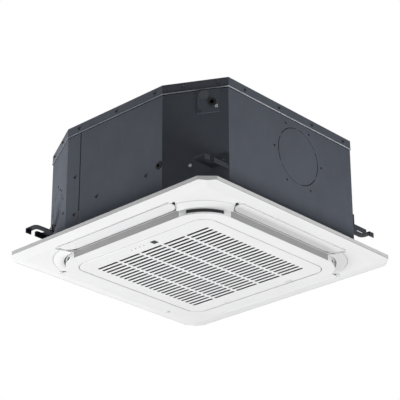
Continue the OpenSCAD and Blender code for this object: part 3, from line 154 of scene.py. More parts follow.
class Shader(Tree):
    """A material's tree, with the patterns that the finishes share."""

    MIX_SHARE, MIX_FIRST, MIX_SECOND, MIXED = 0, 6, 7, 2

    def __init__(self, name: str) -> None:
        """Makes the material and its object coordinates.

        Args:
            name: the material's name.
        """
        self.material = bpy.data.materials.new(name)
        self.material.use_nodes = True
        super().__init__(self.material.node_tree)
        self.place = self.add("ShaderNodeTexCoord").outputs["Object"]

    @cached_property
    def spot(self) -> bpy.types.bpy_prop_collection:
        """The object coordinates' X, Y and Z, one by one."""
        return self.add("ShaderNodeSeparateXYZ", {0: self.place}).outputs

    def stretched(self, axis: Axis) -> Socket:
        """Coordinates drawn out along one axis, for streaks and grain."""
        scale = tuple(1.0 / s for s in axis.value)
        return self.out("ShaderNodeMapping", {"Vector": self.place, "Scale": scale})

    def noise(self, scale: float, detail: float = 3.0, axis: Axis = Axis.NONE) -> Socket:
        """Soft noise from 0 to 1.

        Args:
            scale: patches for each metre.
            detail: finer layers on top.
            axis: the way that it is drawn out.

        Returns:
            The noise's value.
        """
        return self.add("ShaderNodeTexNoise", {"Vector": self.stretched(axis), "Scale": scale,
                                               "Detail": detail, "Roughness": 0.55}).outputs["Fac"]

    def cells(self, scale: float, feature: str = "F1") -> bpy.types.Node:
        """Cells, as of foam beads or zinc flowers, with so many for each metre."""
        return self.add("ShaderNodeTexVoronoi", {"Vector": self.place, "Scale": scale}, feature=feature)

    def spread(self, value: Socket, low: float, high: float, to: Span = (0.0, 1.0)) -> Socket:
        """Maps a value from one range to another.

        Args:
            value: the socket to map.
            low: where the result starts.
            high: where it ends.
            to: the result's range.

        Returns:
            The mapped value.
        """
        return self.out("ShaderNodeMapRange", {"Value": value, "From Min": low, "From Max": high,
                                               "To Min": to[0], "To Max": to[1]})

    def blend(self, share: Socket, a: object, b: object) -> Socket:
        """A colour between two.

        Args:
            share: how much of the second colour shows.
            a: the first colour or socket.
            b: the second colour or socket.

        Returns:
            The mixed colour.
        """
        node = self.add("ShaderNodeMix", {self.MIX_SHARE: share}, data_type="RGBA")
        for index, value in ((self.MIX_FIRST, a), (self.MIX_SECOND, b)):
            self.fill(node.inputs[index], (*value, 1.0) if isinstance(value, tuple) else value)
        return node.outputs[self.MIXED]

    def drift(self, cloud: Socket, colour: Colour, low: float, high: float, dark: float,
              light: float) -> Socket:
        """A colour that drifts between a darker and a lighter one.

        Args:
            cloud: the noise that it follows.
            colour: the colour.
            low: the noise where it is darkest.
            high: the noise where it is lightest.
            dark: the darkest tint's factor.
            light: the lightest tint's factor.

        Returns:
            The colour's socket.
        """
        return self.blend(self.spread(cloud, low, high), tint(colour, dark), tint(colour, light))

    def patches(self, base: Socket, other: Colour, scale: float, low: float, high: float, most: float,
                detail: float = 3.0, axis: Axis = Axis.NONE) -> Socket:
        """A colour with soft patches of another in it.

        Args:
            base: the colour's socket.
            other: the patches' colour.
            scale: patches for each metre.
            low: the noise at which they start to show.
            high: the noise at which they show most.
            most: how much of them shows there.
            detail: finer layers on top.
            axis: the way that they are drawn out.

        Returns:
            The mixed colour.
        """
        return self.blend(self.spread(self.noise(scale, detail, axis), low, high, (0.0, most)), base, other)

    def bump(self, height: Socket, depth: float, before: Socket | None = None) -> Socket:
        """Relief from a height.

        Args:
            height: the height, from 0 to 1.
            depth: what 1 stands for, in metres.
            before: relief that it lies on.

        Returns:
            The changed normal.
        """
        inputs = {"Height": height, "Distance": depth, "Strength": 1.0}
        if before is not None:
            inputs["Normal"] = before
        return self.out("ShaderNodeBump", inputs)

    def rounded(self, radius: float) -> Socket:
        """The normal of a surface whose sharp edges catch the light as if they were rounded."""
        return self.out("ShaderNodeBevel", {"Radius": radius}, samples=6)

    def beyond(self, half: float, corner: float) -> Socket:
        """How far a point lies outside a rounded square about the upright axis, less than 0 inside.

        Args:
            half: half the square's width.
            corner: its corners' radius.

        Returns:
            The distance's socket.
        """
        past = [self.maths("SUBTRACT", self.maths("ABSOLUTE", self.spot[k]), half - corner) for k in (0, 1)]
        ways = [self.maths("MAXIMUM", way, 0.0) for way in past]
        return self.maths("SUBTRACT", self.length(self.move(*ways)), corner)

    def within(self, value: Socket, low: float, high: float) -> Socket:
        """1 where a value lies between two others, and 0 elsewhere."""
        return self.times(self.maths("GREATER_THAN", value, low), self.maths("LESS_THAN", value, high))

    def finish(self, inputs: dict[str, object]) -> bpy.types.Material:
        """Ends the tree in a surface.

        Args:
            inputs: values and sockets of the surface shader.

        Returns:
            The material.
        """
        surface = self.out("ShaderNodeBsdfPrincipled", inputs)
        self.add("ShaderNodeOutputMaterial", {"Surface": surface})
        return self.material


def tint(colour: Colour, factor: float) -> Colour:
    """The same colour, lighter or darker."""
    return tuple(min(1.0, c * factor) for c in colour)


def srgb(red: int, green: int, blue: int) -> Colour:
    """A colour read off in screen values, as light.

    Args:
        red: red, from 0 to 255.
        green: green, from 0 to 255.
        blue: blue, from 0 to 255.

    Returns:
        The linear colour.
    """
    parts = [c / 255 for c in (red, green, blue)]
    return tuple(c / 12.92 if c <= 0.04045 else ((c + 0.055) / 1.055) ** 2.4 for c in parts)


# Finishes


@dataclass(frozen=True)
class PaintedSheet:
    """Folded sheet steel with a powder coat: orange peel, faint runs and small scuffed spots, with, where
    asked, a bare cut edge lightened by a painted highlight and a painted shadow band under a lip.

    Attributes:
        dust: how much the runs show.
        cut_edge: the levels of a bare cut edge, lightened further as a painted highlight, if any.
        lit_side_span: where, from left to right, the painted highlight on the cut edge grows to its full
            share, as painted light that makes the right side look more lit.
        lip_shadow_band: the levels of a painted shadow band just under the lid's lip, if any.
        edge_r: the radius that sharp edges seem to have.
    """

    name: str
    colour: Colour
    roughness: float = 0.7
    runs: Axis = Axis.Z
    dust: float = 0.35
    gloss: float = 0.06
    cut_edge: Span | None = None
    bare_edge_highlight: Colour = (0.6, 0.62, 0.66)
    lit_side_span: Span = (0.276, 0.286)
    lip_shadow_band: Span | None = None
    peel_depth: float = 0.00006
    wave_depth: float = 0.0006
    edge_r: float = 0.0006

    def make(self) -> bpy.types.Material:
        """Builds the material.

        Returns:
            The material.
        """
        s = Shader(self.name)
        cloud = s.noise(7.0)
        base = s.drift(cloud, self.colour, low=0.35, high=0.7, dark=0.93, light=1.07)
        base = s.patches(base, tint(self.colour, 1.18), scale=60.0, low=0.55, high=0.8, most=self.dust,
                         detail=4.0, axis=self.runs)
        base = s.patches(base, tint(self.colour, 1.6), scale=240.0, low=0.68, high=0.76, most=0.3, detail=6.0)
        # A bare cut edge painted lighter as a highlight, and lighter still towards the right side as painted
        # light.
        if self.cut_edge:
            uneven = s.spread(s.noise(55.0), 0.3, 0.5, (0.7, 1.0))
            bare_edge_highlight_mask = s.times(s.within(s.spot[2], *self.cut_edge), uneven)
            side = s.spread(s.spot[0], *self.lit_side_span, (0.35, 1.0))
            base = s.blend(s.times(bare_edge_highlight_mask, side), base, self.bare_edge_highlight)
        # Painted shadow: a dark band just under the lid's lip.
        if self.lip_shadow_band:
            uneven = s.spread(s.noise(30.0), 0.3, 0.6, (0.75, 1.0))
            base = s.blend(s.times(s.within(s.spot[2], *self.lip_shadow_band), uneven), base, tint(self.colour, 0.22))
        peel = s.bump(s.noise(900.0, 2.0), self.peel_depth, s.rounded(self.edge_r))
        rough = s.spread(s.noise(45.0, 5.0), 0.3, 0.75, (self.roughness - 0.07, self.roughness + 0.09))
        return s.finish({"Base Color": base, "Roughness": rough, "Specular IOR Level": self.gloss,
                         "Normal": s.bump(cloud, self.wave_depth, peel)})


@dataclass(frozen=True)
class MouldedPlastic:
    """Injection-moulded plastic with a spark-eroded grain and slight flow marks.

    Attributes:
        grain: the grain's pits for each metre.
        flow: the way that the flow marks run.
        edge: the radius that sharp edges seem to have.
    """

    name: str
    colour: Colour
    roughness: float = 0.38
    grain: float = 1500.0
    depth: float = 0.00003
    flow: Axis = Axis.NONE
    flow_depth: float = 0.0004
    specular: float = 0.5
    edge: float = 0.0007

    def clouds(self, s: Shader) -> Socket:
        """The flow marks' noise, in a material's tree."""
        return s.noise(9.0, 4.0, self.flow)

    def colouring(self, s: Shader) -> Socket:
        """The colour, with its flow marks and the grain's pits.

        Args:
            s: the material's tree.

        Returns:
            The colour's socket.
        """
        base = s.drift(self.clouds(s), self.colour, low=0.3, high=0.75, dark=0.975, light=1.015)
        return s.patches(base, tint(self.colour, 0.95), scale=self.grain, low=0.62, high=0.8, most=0.35,
                         detail=2.0)

    def make(self) -> bpy.types.Material:
        """Builds the material.

        Returns:
            The material.
        """
        s = Shader(self.name)
        pitted = s.bump(s.noise(self.grain, 2.0), self.depth, s.rounded(self.edge))
        relief = s.bump(self.clouds(s), self.flow_depth, pitted)
        rough = s.spread(s.noise(30.0, 5.0), 0.3, 0.75, (self.roughness - 0.05, self.roughness + 0.07))
        return s.finish({"Base Color": self.colouring(s), "Roughness": rough, "Normal": relief,
                         "Specular IOR Level": self.specular})


@dataclass(frozen=True)
class PanelPlastic(MouldedPlastic):
    """White moulded plastic, with painted shade along its trimmed outer edge, in the gap round the grille
    door and on the walls that line its openings.

    Attributes:
        outlet_wall_shade: the painted shade on the walls in the outlets and the intake.
        skin: the levels of the flat skin, which stays white.
        face: the level of the raised face, which stays white.
        outlet: how far from the middle the outlets start and end.
        outlet_half: half an outlet's length.
        intake: half the intake's width.
        door_gap_shade: the painted shade on the wall of the narrow gap round the grille door.
        joint_span: how far from the middle it starts and ends.
        joint_top: the level that it reaches up to.
        border_shade: the painted shade along the panel's outer edge.
        border_half: half the panel's width.
        border_edge: how far inside it the painted shade starts, and where it is full.
        border_top: the level that the edge reaches up to.
    """

    outlet_wall_shade: Colour = (0.34, 0.34, 0.342)
    skin: Span = (-0.0776, -0.0764)
    face: float = -0.0936
    outlet: Span = (0.16, 0.265)
    outlet_half: float = 0.166
    intake: float = 0.219
    door_gap_shade: Colour = (0.62, 0.62, 0.622)
    joint_span: Span = (0.2098, 0.2125)
    joint_top: float = -0.0895
    border_shade: Colour = (0.4, 0.4, 0.402)
    border_half: float = 0.3235
    border_edge: Span = (0.0024, 0.0014)
    border_top: float = -0.0716

    def colouring(self, s: Shader) -> Socket:
        """The white, with painted shade where a wall looks into an outlet or the intake, in the gap round the
        grille door and along the outer edge.

        Args:
            s: the material's tree.

        Returns:
            The colour's socket.
        """
        across, along = (s.maths("ABSOLUTE", s.spot[k]) for k in (0, 1))
        far, near = s.maths("MAXIMUM", across, along), s.maths("MINIMUM", across, along)
        level = s.spot[2]
        raised = s.maths("SUBTRACT", s.maths("GREATER_THAN", level, self.face), s.within(level, *self.skin))
        outlet = s.times(s.within(far, *self.outlet), s.maths("LESS_THAN", near, self.outlet_half))
        # Painted shade on the raised walls inside the outlets and the intake.
        shaded_walls = s.times(raised, s.maths("MAXIMUM", outlet, s.maths("LESS_THAN", far, self.intake)))
        # Painted shade on the wall of the gap round the grille door.
        door_gap_shade = s.times(s.within(far, *self.joint_span), s.maths("LESS_THAN", level, self.joint_top))
        # Painted shade along the panel's outer edge.
        edge = s.spread(far, *(self.border_half - inside for inside in self.border_edge))
        outline = s.times(edge, s.maths("LESS_THAN", level, self.border_top))
        base = s.blend(outline, super().colouring(s), self.border_shade)
        return s.blend(shaded_walls, base, s.blend(door_gap_shade, self.outlet_wall_shade, self.door_gap_shade))


@dataclass(frozen=True)
class EdgedPlastic(MouldedPlastic):
    """White moulded plastic, with painted shade where its outline dips into a gap and on the slots' walls
    inside a field.

    Attributes:
        line: the painted shade along the outline.
        half: half the outline's width.
        corner: its corners' radius.
        width: the grey line's width.
        above: the level above which the grey starts.
        field_half: half the width of the field of slots.
        slot_shade_tint: how dark the painted shade on the slots' walls is, against the line.
    """

    line: Colour = (0.4, 0.4, 0.402)
    half: float = 0.209
    corner: float = 0.036
    width: float = 0.0016
    above: float = -0.0934
    field_half: float = 0.0
    slot_shade_tint: float = 0.12

    def colouring(self, s: Shader) -> Socket:
        """The white, with painted shade along its outline and on its slots' walls.

        Args:
            s: the material's tree.

        Returns:
            The colour's socket.
        """
        inward = s.beyond(self.half, self.corner)
        raised = s.maths("GREATER_THAN", s.spot[2], self.above)
        # Painted shade along the outline, where it dips into the gap.
        outline = s.times(s.spread(inward, -self.width, -0.5 * self.width), raised)
        # Darker painted shade on the slots' walls inside the field.
        inside = s.times(s.maths("LESS_THAN", inward, self.field_half - self.half), raised)
        base = s.blend(outline, super().colouring(s), self.line)
        return s.blend(inside, base, tint(self.line, self.slot_shade_tint))


@dataclass(frozen=True)
class BareMetal:
    """Metal with its rolled or turned grain, and zinc flowers where it is galvanised.

    Attributes:
        flowers: zinc flowers for each metre, or 0 for none.
        stain: how much the tarnish shows.
    """

    name: str
    colour: Colour
    roughness: float = 0.32
    grain: Axis = Axis.Z
    flowers: float = 0.0
    tarnish: Colour = (0.25, 0.2, 0.16)
    stain: float = 0.12
    grain_depth: float = 0.00003

    def make(self) -> bpy.types.Material:
        """Builds the material.

        Returns:
            The material.
        """
        s = Shader(self.name)
        line = s.noise(700.0, 3.0, self.grain)
        base = s.drift(s.noise(16.0, 4.0), self.colour, low=0.3, high=0.75, dark=0.88, light=1.05)
        base = s.patches(base, self.tarnish, scale=90.0, low=0.55, high=0.85, most=self.stain, detail=5.0)
        rough = s.spread(line, 0.3, 0.7, (self.roughness - 0.08, self.roughness + 0.1))
        if self.flowers:
            flower = s.cells(self.flowers)
            shade = s.out("ShaderNodeRGBToBW", {0: flower.outputs["Color"]})
            base = s.blend(s.spread(shade, 0.2, 0.9, (0.0, 0.45)), base, tint(self.colour, 1.25))
            rough = s.maths("ADD", rough, s.spread(shade, 0.2, 0.9, (0.0, 0.12)))
        return s.finish({"Base Color": base, "Metallic": 1.0, "Roughness": rough,
                         "Normal": s.bump(line, self.grain_depth)})


@dataclass(frozen=True)
class BeadFoam:
    """Expanded foam, with its fused beads or its open pores.

    Attributes:
        bead: beads or pores for each metre.
        depth: the depth of the seams between them.
    """

    name: str
    colour: Colour
    bead: float = 320.0
    depth: float = 0.0004
    skin_depth: float = 0.00008

    def make(self) -> bpy.types.Material:
        """Builds the material.

        Returns:
            The material.
        """
        s = Shader(self.name)
        seam = s.spread(s.cells(self.bead, "DISTANCE_TO_EDGE").outputs["Distance"], 0.0, 0.12)
        base = s.blend(seam, tint(self.colour, 0.8), self.colour)
        base = s.patches(base, tint(self.colour, 0.92), scale=12.0, low=0.35, high=0.8, most=0.5)
        relief = s.bump(s.noise(1400.0), self.skin_depth, s.bump(seam, self.depth))
        return s.finish({"Base Color": base, "Roughness": 0.85, "Normal": relief, "Specular IOR Level": 0.25})


@dataclass(frozen=True)
class Lens:
    """Smoked or tinted clear plastic over a detector or lamp."""

    name: str
    colour: Colour
    core: Colour
    gloss: float = 0.5
    ripple_depth: float = 0.00002

    def make(self) -> bpy.types.Material:
        """Builds the material.

        Returns:
            The material.
        """
        s = Shader(self.name)
        base = s.blend(s.spread(s.noise(130.0, 2.0), 0.35, 0.7), self.colour, self.core)
        return s.finish({"Base Color": base, "Roughness": 0.12, "Specular IOR Level": self.gloss,
                         "Normal": s.bump(s.noise(400.0), self.ripple_depth)})


@dataclass(frozen=True)
class Circuit:
    """A printed board, with its tracks under the lacquer."""

    name: str
    colour: Colour
    solder: Colour = (0.5, 0.45, 0.3)
    track_depth: float = 0.00006

    def make(self) -> bpy.types.Material:
        """Builds the material.

        Returns:
            The material.
        """
        s = Shader(self.name)
        black, white = (0, 0, 0, 1), (1, 1, 1, 1)
        track = s.add("ShaderNodeTexBrick", {
            "Vector": s.place, "Scale": 90.0, "Mortar Size": 0.03, "Color1": black, "Color2": black,
            "Mortar": white}).outputs["Fac"]
        base = s.blend(track, self.colour, tint(self.colour, 2.2))
        base = s.patches(base, self.solder, scale=200.0, low=0.6, high=0.7, most=0.4)
        return s.finish({"Base Color": base, "Roughness": 0.35, "Normal": s.bump(track, self.track_depth)})


SLATE = srgb(105, 110, 120)
NAVY = srgb(46, 50, 58)
WHITE = (0.86, 0.86, 0.865)
FINISHES = {f.name: f for f in (
    # The lid's cut edge carries a painted highlight.
    PaintedSheet("lid_coat", tint(SLATE, 0.85), 0.6, gloss=0.12, cut_edge=(0.1935, 0.1954)),
    # The wraps carry a painted shadow band under the lid's lip.
    PaintedSheet("wrap_coat", SLATE, lip_shadow_band=(0.1915, 0.2)),
    PaintedSheet("bracket_coat", NAVY, 0.45, Axis.NONE, dust=0.2, gloss=0.2),
    PaintedSheet("plate_coat", tint(SLATE, 0.94), 0.6, gloss=0.12),
    # The panel carries painted shade in its outlets, round the grille door and along its outer edge.
    PanelPlastic("panel_plastic", WHITE),
    # Painted shade along the corner covers' outer edge.
    EdgedPlastic("cover_plastic", WHITE, line=(0.5, 0.5, 0.5), half=0.276, corner=0.116, width=0.0013,
                 above=-0.1),
    MouldedPlastic("plug_plastic", srgb(62, 66, 73), 0.5, 1100.0, 0.00005),
    MouldedPlastic("louver_plastic", tint(WHITE, 1.01), 0.33, flow=Axis.X),
    MouldedPlastic("side_louver_plastic", tint(WHITE, 1.01), 0.33, flow=Axis.Y),
    # Painted shade along the grille door's edge and on its slots' walls.
    EdgedPlastic("grille_plastic", WHITE, 0.4, line=(0.2, 0.2, 0.202), field_half=0.178),
    MouldedPlastic("black_plastic", srgb(38, 39, 42), 0.5, 1100.0, 0.00005),
    MouldedPlastic("fan_plastic", srgb(196, 200, 203), 0.45),
    MouldedPlastic("pump_plastic", srgb(214, 214, 206), 0.4),
    MouldedPlastic("hose_plastic", srgb(58, 60, 62), 0.45, 900.0),
    MouldedPlastic("rubber", srgb(24, 24, 25), 0.75, 800.0, 0.00008, specular=0.3),
    MouldedPlastic("net_thread", srgb(20, 21, 23), 0.6, specular=0.15),
    BareMetal("galvanised", srgb(186, 189, 190), 0.42, Axis.X, flowers=90.0),
    BareMetal("zinc", srgb(208, 210, 212), 0.3),
    BareMetal("blued_steel", srgb(54, 56, 62), 0.36, Axis.NONE),
    BareMetal("dull_zinc", srgb(132, 134, 140), 0.3, Axis.NONE),
    BareMetal("motor_steel", srgb(160, 162, 164), 0.38, Axis.NONE),
    BareMetal("fin_aluminium", srgb(205, 210, 214), 0.34, Axis.Z),
    BareMetal("copper", srgb(206, 128, 88), 0.3, Axis.X),
    BareMetal("brass", srgb(206, 172, 98), 0.3, Axis.NONE),
    BeadFoam("white_foam", (0.82, 0.82, 0.81)),
    BeadFoam("liner_foam", srgb(36, 37, 40), 500.0, 0.0002),
    BeadFoam("black_foam", srgb(34, 34, 35), 900.0, 0.0002),
    Lens("smoked_lens", (0.006, 0.006, 0.007), core=(0.012, 0.011, 0.013), gloss=0.15),
    Lens("lamp_lens", (0.016, 0.018, 0.022), core=(0.03, 0.045, 0.03), gloss=0.2),
    Circuit("board", srgb(20, 78, 52)),
)}
MATERIALS: dict[str, bpy.types.Material] = {}


def finish_of(name: str) -> bpy.types.Material:
    """The material of a finish, made when it is first asked for.

    Args:
        name: the finish's name.

    Returns:
        The material.
    """
    if name not in MATERIALS:
        MATERIALS[name] = FINISHES[name].make()
    return MATERIALS[name]


# Mesh helpers


def piece(name: str, mesh: bpy.types.Mesh, finish: str | None = None) -> bpy.types.Object:
    """A new object at the origin.

    Args:
        name: its name.
        mesh: its mesh, in place.
        finish: its finish, unless the mesh has one.

    Returns:
        The object.
    """
    if finish:
        mesh.materials.clear()
        mesh.materials.append(finish_of(finish))
    obj = bpy.data.objects.new(name, mesh)
    bpy.context.scene.collection.objects.link(obj)
    return obj


def settle(obj: bpy.types.Object, name: str) -> bpy.types.Object:
    """Turns an object with modifiers into a plain mesh of its own.

    Args:
        obj: the object to evaluate, which is then removed.
        name: the name of what is left.

    Returns:
        The plain object.
    """
    graph = bpy.context.evaluated_depsgraph_get()
    mesh = bpy.data.meshes.new_from_object(obj.evaluated_get(graph), depsgraph=graph)
    host = obj.data
    bpy.data.objects.remove(obj)
    bpy.data.meshes.remove(host)
    mesh.name = name
    return piece(name, mesh)


def soften(obj: bpy.types.Object, width: float, segments: int = 2, angle: float = 35.0) -> None:
    """Rounds an object's edges.

    Args:
        obj: the object.
        width: the rounding's width.
        segments: faces across it.
        angle: the sharpness, in degrees, from which an edge is rounded.
    """
    bevel = obj.modifiers.new("soften", "BEVEL")
    bevel.width, bevel.segments = width, segments
    bevel.limit_method, bevel.angle_limit = "ANGLE", math.radians(angle)
    bevel.harden_normals = True


def place(obj: bpy.types.Object, body: Body, slot: str, *nodes: str) -> None:
    """Hangs a piece on its body, hides the solids that it replaces and logs the piece.

    Args:
        obj: the finished piece.
        body: the body that it moves with.
        slot: a material slot's name, not used.
        nodes: the solids that it replaces.
    """
    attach(obj, body.value)
    if nodes:
        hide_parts(*nodes)
    LOG.info("%s rides on %s with %d faces", obj.name, body.value, len(obj.data.polygons))


def loose_parts(node: str, merge: float = 1e-6) -> list[list[Vector]]:
    """The points of each separate solid in a node.

    Args:
        node: the node's name.
        merge: the distance within which points are one.

    Returns:
        A list of points for each solid.
    """
    mesh = bmesh.new()
    mesh.from_mesh(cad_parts[node].data)
    bmesh.ops.remove_doubles(mesh, verts=mesh.verts, dist=merge)
    parts, seen = [], set()
    for start in mesh.verts:
        if start in seen:
            continue
        points, waiting = [], [start]
        seen.add(start)
        while waiting:
            vert = waiting.pop()
            points.append(vert.co.copy())
            fresh = [v for v in (link.other_vert(vert) for link in vert.link_edges) if v not in seen]
            seen.update(fresh)
            waiting += fresh
        parts.append(points)
    mesh.free()
    return parts


# Geometry nodes


class Grower(Tree):
    """A geometry tree with named inputs, which ends in realised geometry with one finish."""

    SOCKETS = {float: "NodeSocketFloat", int: "NodeSocketInt"}

    def __init__(self, name: str, sizes: dict[str, float | int]) -> None:
        """Makes the tree and its inputs.

        Args:
            name: the tree's name.
            sizes: each named input's value.
        """
        super().__init__(bpy.data.node_groups.new(name, "GeometryNodeTree"))
        face = self.tree.interface
        face.new_socket("Geometry", in_out="INPUT", socket_type="NodeSocketGeometry")
        self.values = {}
        for label, value in sizes.items():
            socket = face.new_socket(label, in_out="INPUT", socket_type=self.SOCKETS[type(value)])
            self.values[socket.identifier] = value
        face.new_socket("Geometry", in_out="OUTPUT", socket_type="NodeSocketGeometry")
        given = self.tree.nodes.new("NodeGroupInput").outputs
        self.host = given["Geometry"]
        self.size = {label: given[label] for label in sizes}

    def grow(self, shape: Socket, host: bpy.types.Mesh, name: str, finish: str) -> bpy.types.Object:
        """Ends the tree, runs it once on a host mesh and keeps the result.

        Args:
            shape: the geometry to keep.
            host: the mesh that it grows on.
            name: the new piece's name.
            finish: its finish.

        Returns:
            The plain piece.
        """
        real = self.out("GeometryNodeRealizeInstances", {0: shape})
        dyed = self.out("GeometryNodeSetMaterial", {0: real, "Material": finish_of(finish)})
        self.add("NodeGroupOutput", {0: dyed})
        obj = piece(name + "_host", host)
        modifier = obj.modifiers.new("grow", "NODES")
        modifier.node_group = self.tree
        for identifier, value in self.values.items():
            modifier[identifier] = value
        return settle(obj, name)


def host_mesh(points: Sequence[Sequence[float]], edges: Iterable[tuple[int, int]] = (),
              facing: Sequence[Sequence[float]] = ()) -> bpy.types.Mesh:
    """Points or lines for a tree to grow on.

    Args:
        points: their places.
        edges: the lines between them.
        facing: a direction for each point.

    Returns:
        The mesh, with the directions in an attribute named facing.
    """
    mesh = bpy.data.meshes.new("host")
    mesh.from_pydata([tuple(p) for p in points], list(edges), [])
    if facing:
        way = mesh.attributes.new("facing", "FLOAT_VECTOR", "POINT")
        for item, direction in zip(way.data, facing):
            item.vector = direction
    return mesh


# The assembly


@dataclass
class Group:
    """A sub-assembly, with the finish of each solid that keeps its shape."""

    finishes: dict[str, str] = field(default_factory=dict)

    def build(self) -> None:
        """Gives the solids their finishes."""
        for node, finish in self.finishes.items():
            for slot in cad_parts[node].material_slots:
                slot.material = finish_of(finish)
            LOG.info("%s is finished in %s", node, finish)


@dataclass
class Casing(Group):
    """The painted sheet-steel casing with its screws, and the hanger brackets.

    Attributes:
        dome: how far a screw head's rim is drawn in at the top, as a share.
        crown: how far its top falls towards the rim, as a share.
        recess_reach: the length of the cross recess's arms, as a share of the head's radius.
        recess_lift: the height of their middle, as a share of the head's height.
        corner_cut: how much each corner face takes off the front or back, and off the side.
        plated_spots: where the two brighter screws are.
    """

    head_d: float = 0.008
    head_h: float = 0.002
    dome: float = 0.45
    crown: float = 0.3
    recess_w: float = 0.0014
    recess_reach: float = 1.15
    recess_lift: float = 0.98
    corner_cut: Span = (0.133, 0.072)
    plated_spots: tuple[Spot, ...] = ((0.2634, -0.229, 0.1485), (0.2099, -0.2562, 0.011))
    finishes: dict[str, str] = field(default_factory=lambda: {
        "top_cover": "lid_coat", "casing_wrap_left": "wrap_coat", "casing_wrap_right": "wrap_coat",
        "casing_liner": "liner_foam", "lid_liner": "liner_foam", "hanger_brackets": "bracket_coat",
        "panel_lugs": "galvanised", "service_plate": "plate_coat", "service_plug": "plug_plastic",
        "grommets": "rubber"})

    def build(self) -> None:
        """Dresses the sheets and replaces the screws."""
        super().build()
        seats = [self.seat_of(points) for points in loose_parts("casing_screws")]
        plain = [seat for seat in seats if not self.is_plated(seat[0])]
        self.screws("casing_screw_heads", "blued_steel", plain, "casing_screws")
        self.screws("service_screw_heads", "dull_zinc", [seat for seat in seats if self.is_plated(seat[0])])

    def is_plated(self, spot: Vector) -> bool:
        """Whether the screw at a spot is one of the two brighter ones."""
        return any((spot - Vector(bright)).length < self.head_d for bright in self.plated_spots)

    def seat_of(self, points: list[Vector]) -> Seat:
        """Finds a screw head's seat, from the face that the screw's points stand round most evenly.

        Args:
            points: the points of one solid screw.

        Returns:
            The middle of its head's seat, and its outward way.
        """
        away = sum(points, Vector()) / len(points)
        away.z = 0.0
        along, across = self.corner_cut
        ways = [Vector(way) for way in ((0, -1, 0), (1, 0, 0), (0, 1, 0), (-1, 0, 0))]
        ways += [Vector((x * across, y * along, 0.0)).normalized() for x in (-1, 1) for y in (-1, 1)]
        found = []
        for way in (w for w in ways if away.dot(w) > 0):
            reach = [p.dot(way) for p in points]
            shadow = [p - way * r for p, r in zip(points, reach)]
            centre = Vector([(min(c[i] for c in shadow) + max(c[i] for c in shadow)) / 2 for i in range(3)])
            radii = [(c - centre).length for c in shadow]
            found.append((max(radii) - min(radii), centre + way * (max(reach) - self.head_h), way))
        return min(found, key=lambda row: row[0])[1:]

    def screws(self, name: str, finish: str, seats: list[Seat], *nodes: str) -> None:
        """Pan-head screws with cross recesses.

        Args:
            name: the new piece's name.
            finish: its finish.
            seats: each head's seat and its outward way.
            nodes: the solid screws that it replaces.
        """
        g = Grower(name, {"Head diameter": self.head_d, "Head height": self.head_h, "Dome": self.dome,
                          "Crown": self.crown, "Recess width": self.recess_w, "Seed": 5,
                          "Recess reach": self.recess_reach, "Recess lift": self.recess_lift})
        height, width = g.size["Head height"], g.size["Recess width"]
        radius = g.times(g.size["Head diameter"], 0.5)
        head = g.out("GeometryNodeMeshCylinder", {"Vertices": 28, "Side Segments": 5, "Fill Segments": 3,
                                                  "Radius": radius, "Depth": height})
        x, y, z = g.add("ShaderNodeSeparateXYZ", {0: g.out("GeometryNodeInputPosition")}).outputs
        rise = g.maths("ADD", g.maths("DIVIDE", z, height), 0.5)
        drawn = g.maths("SUBTRACT", 1.0, g.times(g.size["Dome"], g.maths("POWER", rise, 4.0)))
        rim = g.maths("POWER", g.maths("DIVIDE", g.length(g.move(x, y)), radius), 2.0)
        crown = g.maths("SUBTRACT", 1.0, g.times(g.size["Crown"], rim))
        top = g.times(g.times(rise, height), crown)
        shaped = g.move(g.times(x, drawn), g.times(y, drawn), top)
        domed = g.out("GeometryNodeSetPosition", {0: head, "Position": shaped})
        arm, lift = g.times(radius, g.size["Recess reach"]), g.times(height, g.size["Recess lift"])
        cut = g.add("GeometryNodeMeshBoolean", {0: domed}, operation="DIFFERENCE")
        for size in ((arm, width), (width, arm)):
            bar = g.out("GeometryNodeMeshCube", {"Size": g.move(*size, height)})
            g.fill(cut.inputs[1], g.out("GeometryNodeTransform", {0: bar, "Translation": g.move(z=lift)}))
        way = g.out("GeometryNodeInputNamedAttribute", {"Name": "facing"}, data_type="FLOAT_VECTOR")
        lean = g.out("FunctionNodeAlignRotationToVector", {"Vector": way}, axis="Z")
        spin = g.add("FunctionNodeRandomValue", {"Min": 0.0, "Max": math.pi, "Seed": g.size["Seed"]},
                     data_type="FLOAT").outputs[1]
        about = g.out("FunctionNodeAxisAngleToRotation", {"Axis": (0.0, 0.0, 1.0), "Angle": spin})
        both = g.out("FunctionNodeRotateRotation", {0: lean, 1: about}, rotation_space="LOCAL")
        placed = g.out("GeometryNodeInstanceOnPoints", {"Points": g.host, "Instance": cut.outputs[0],
                                                        "Rotation": both})
        host = host_mesh([seat for seat, _ in seats], facing=[way for _, way in seats])
        place(g.grow(placed, host, name, finish), Body.UNIT, "zinc", *nodes)


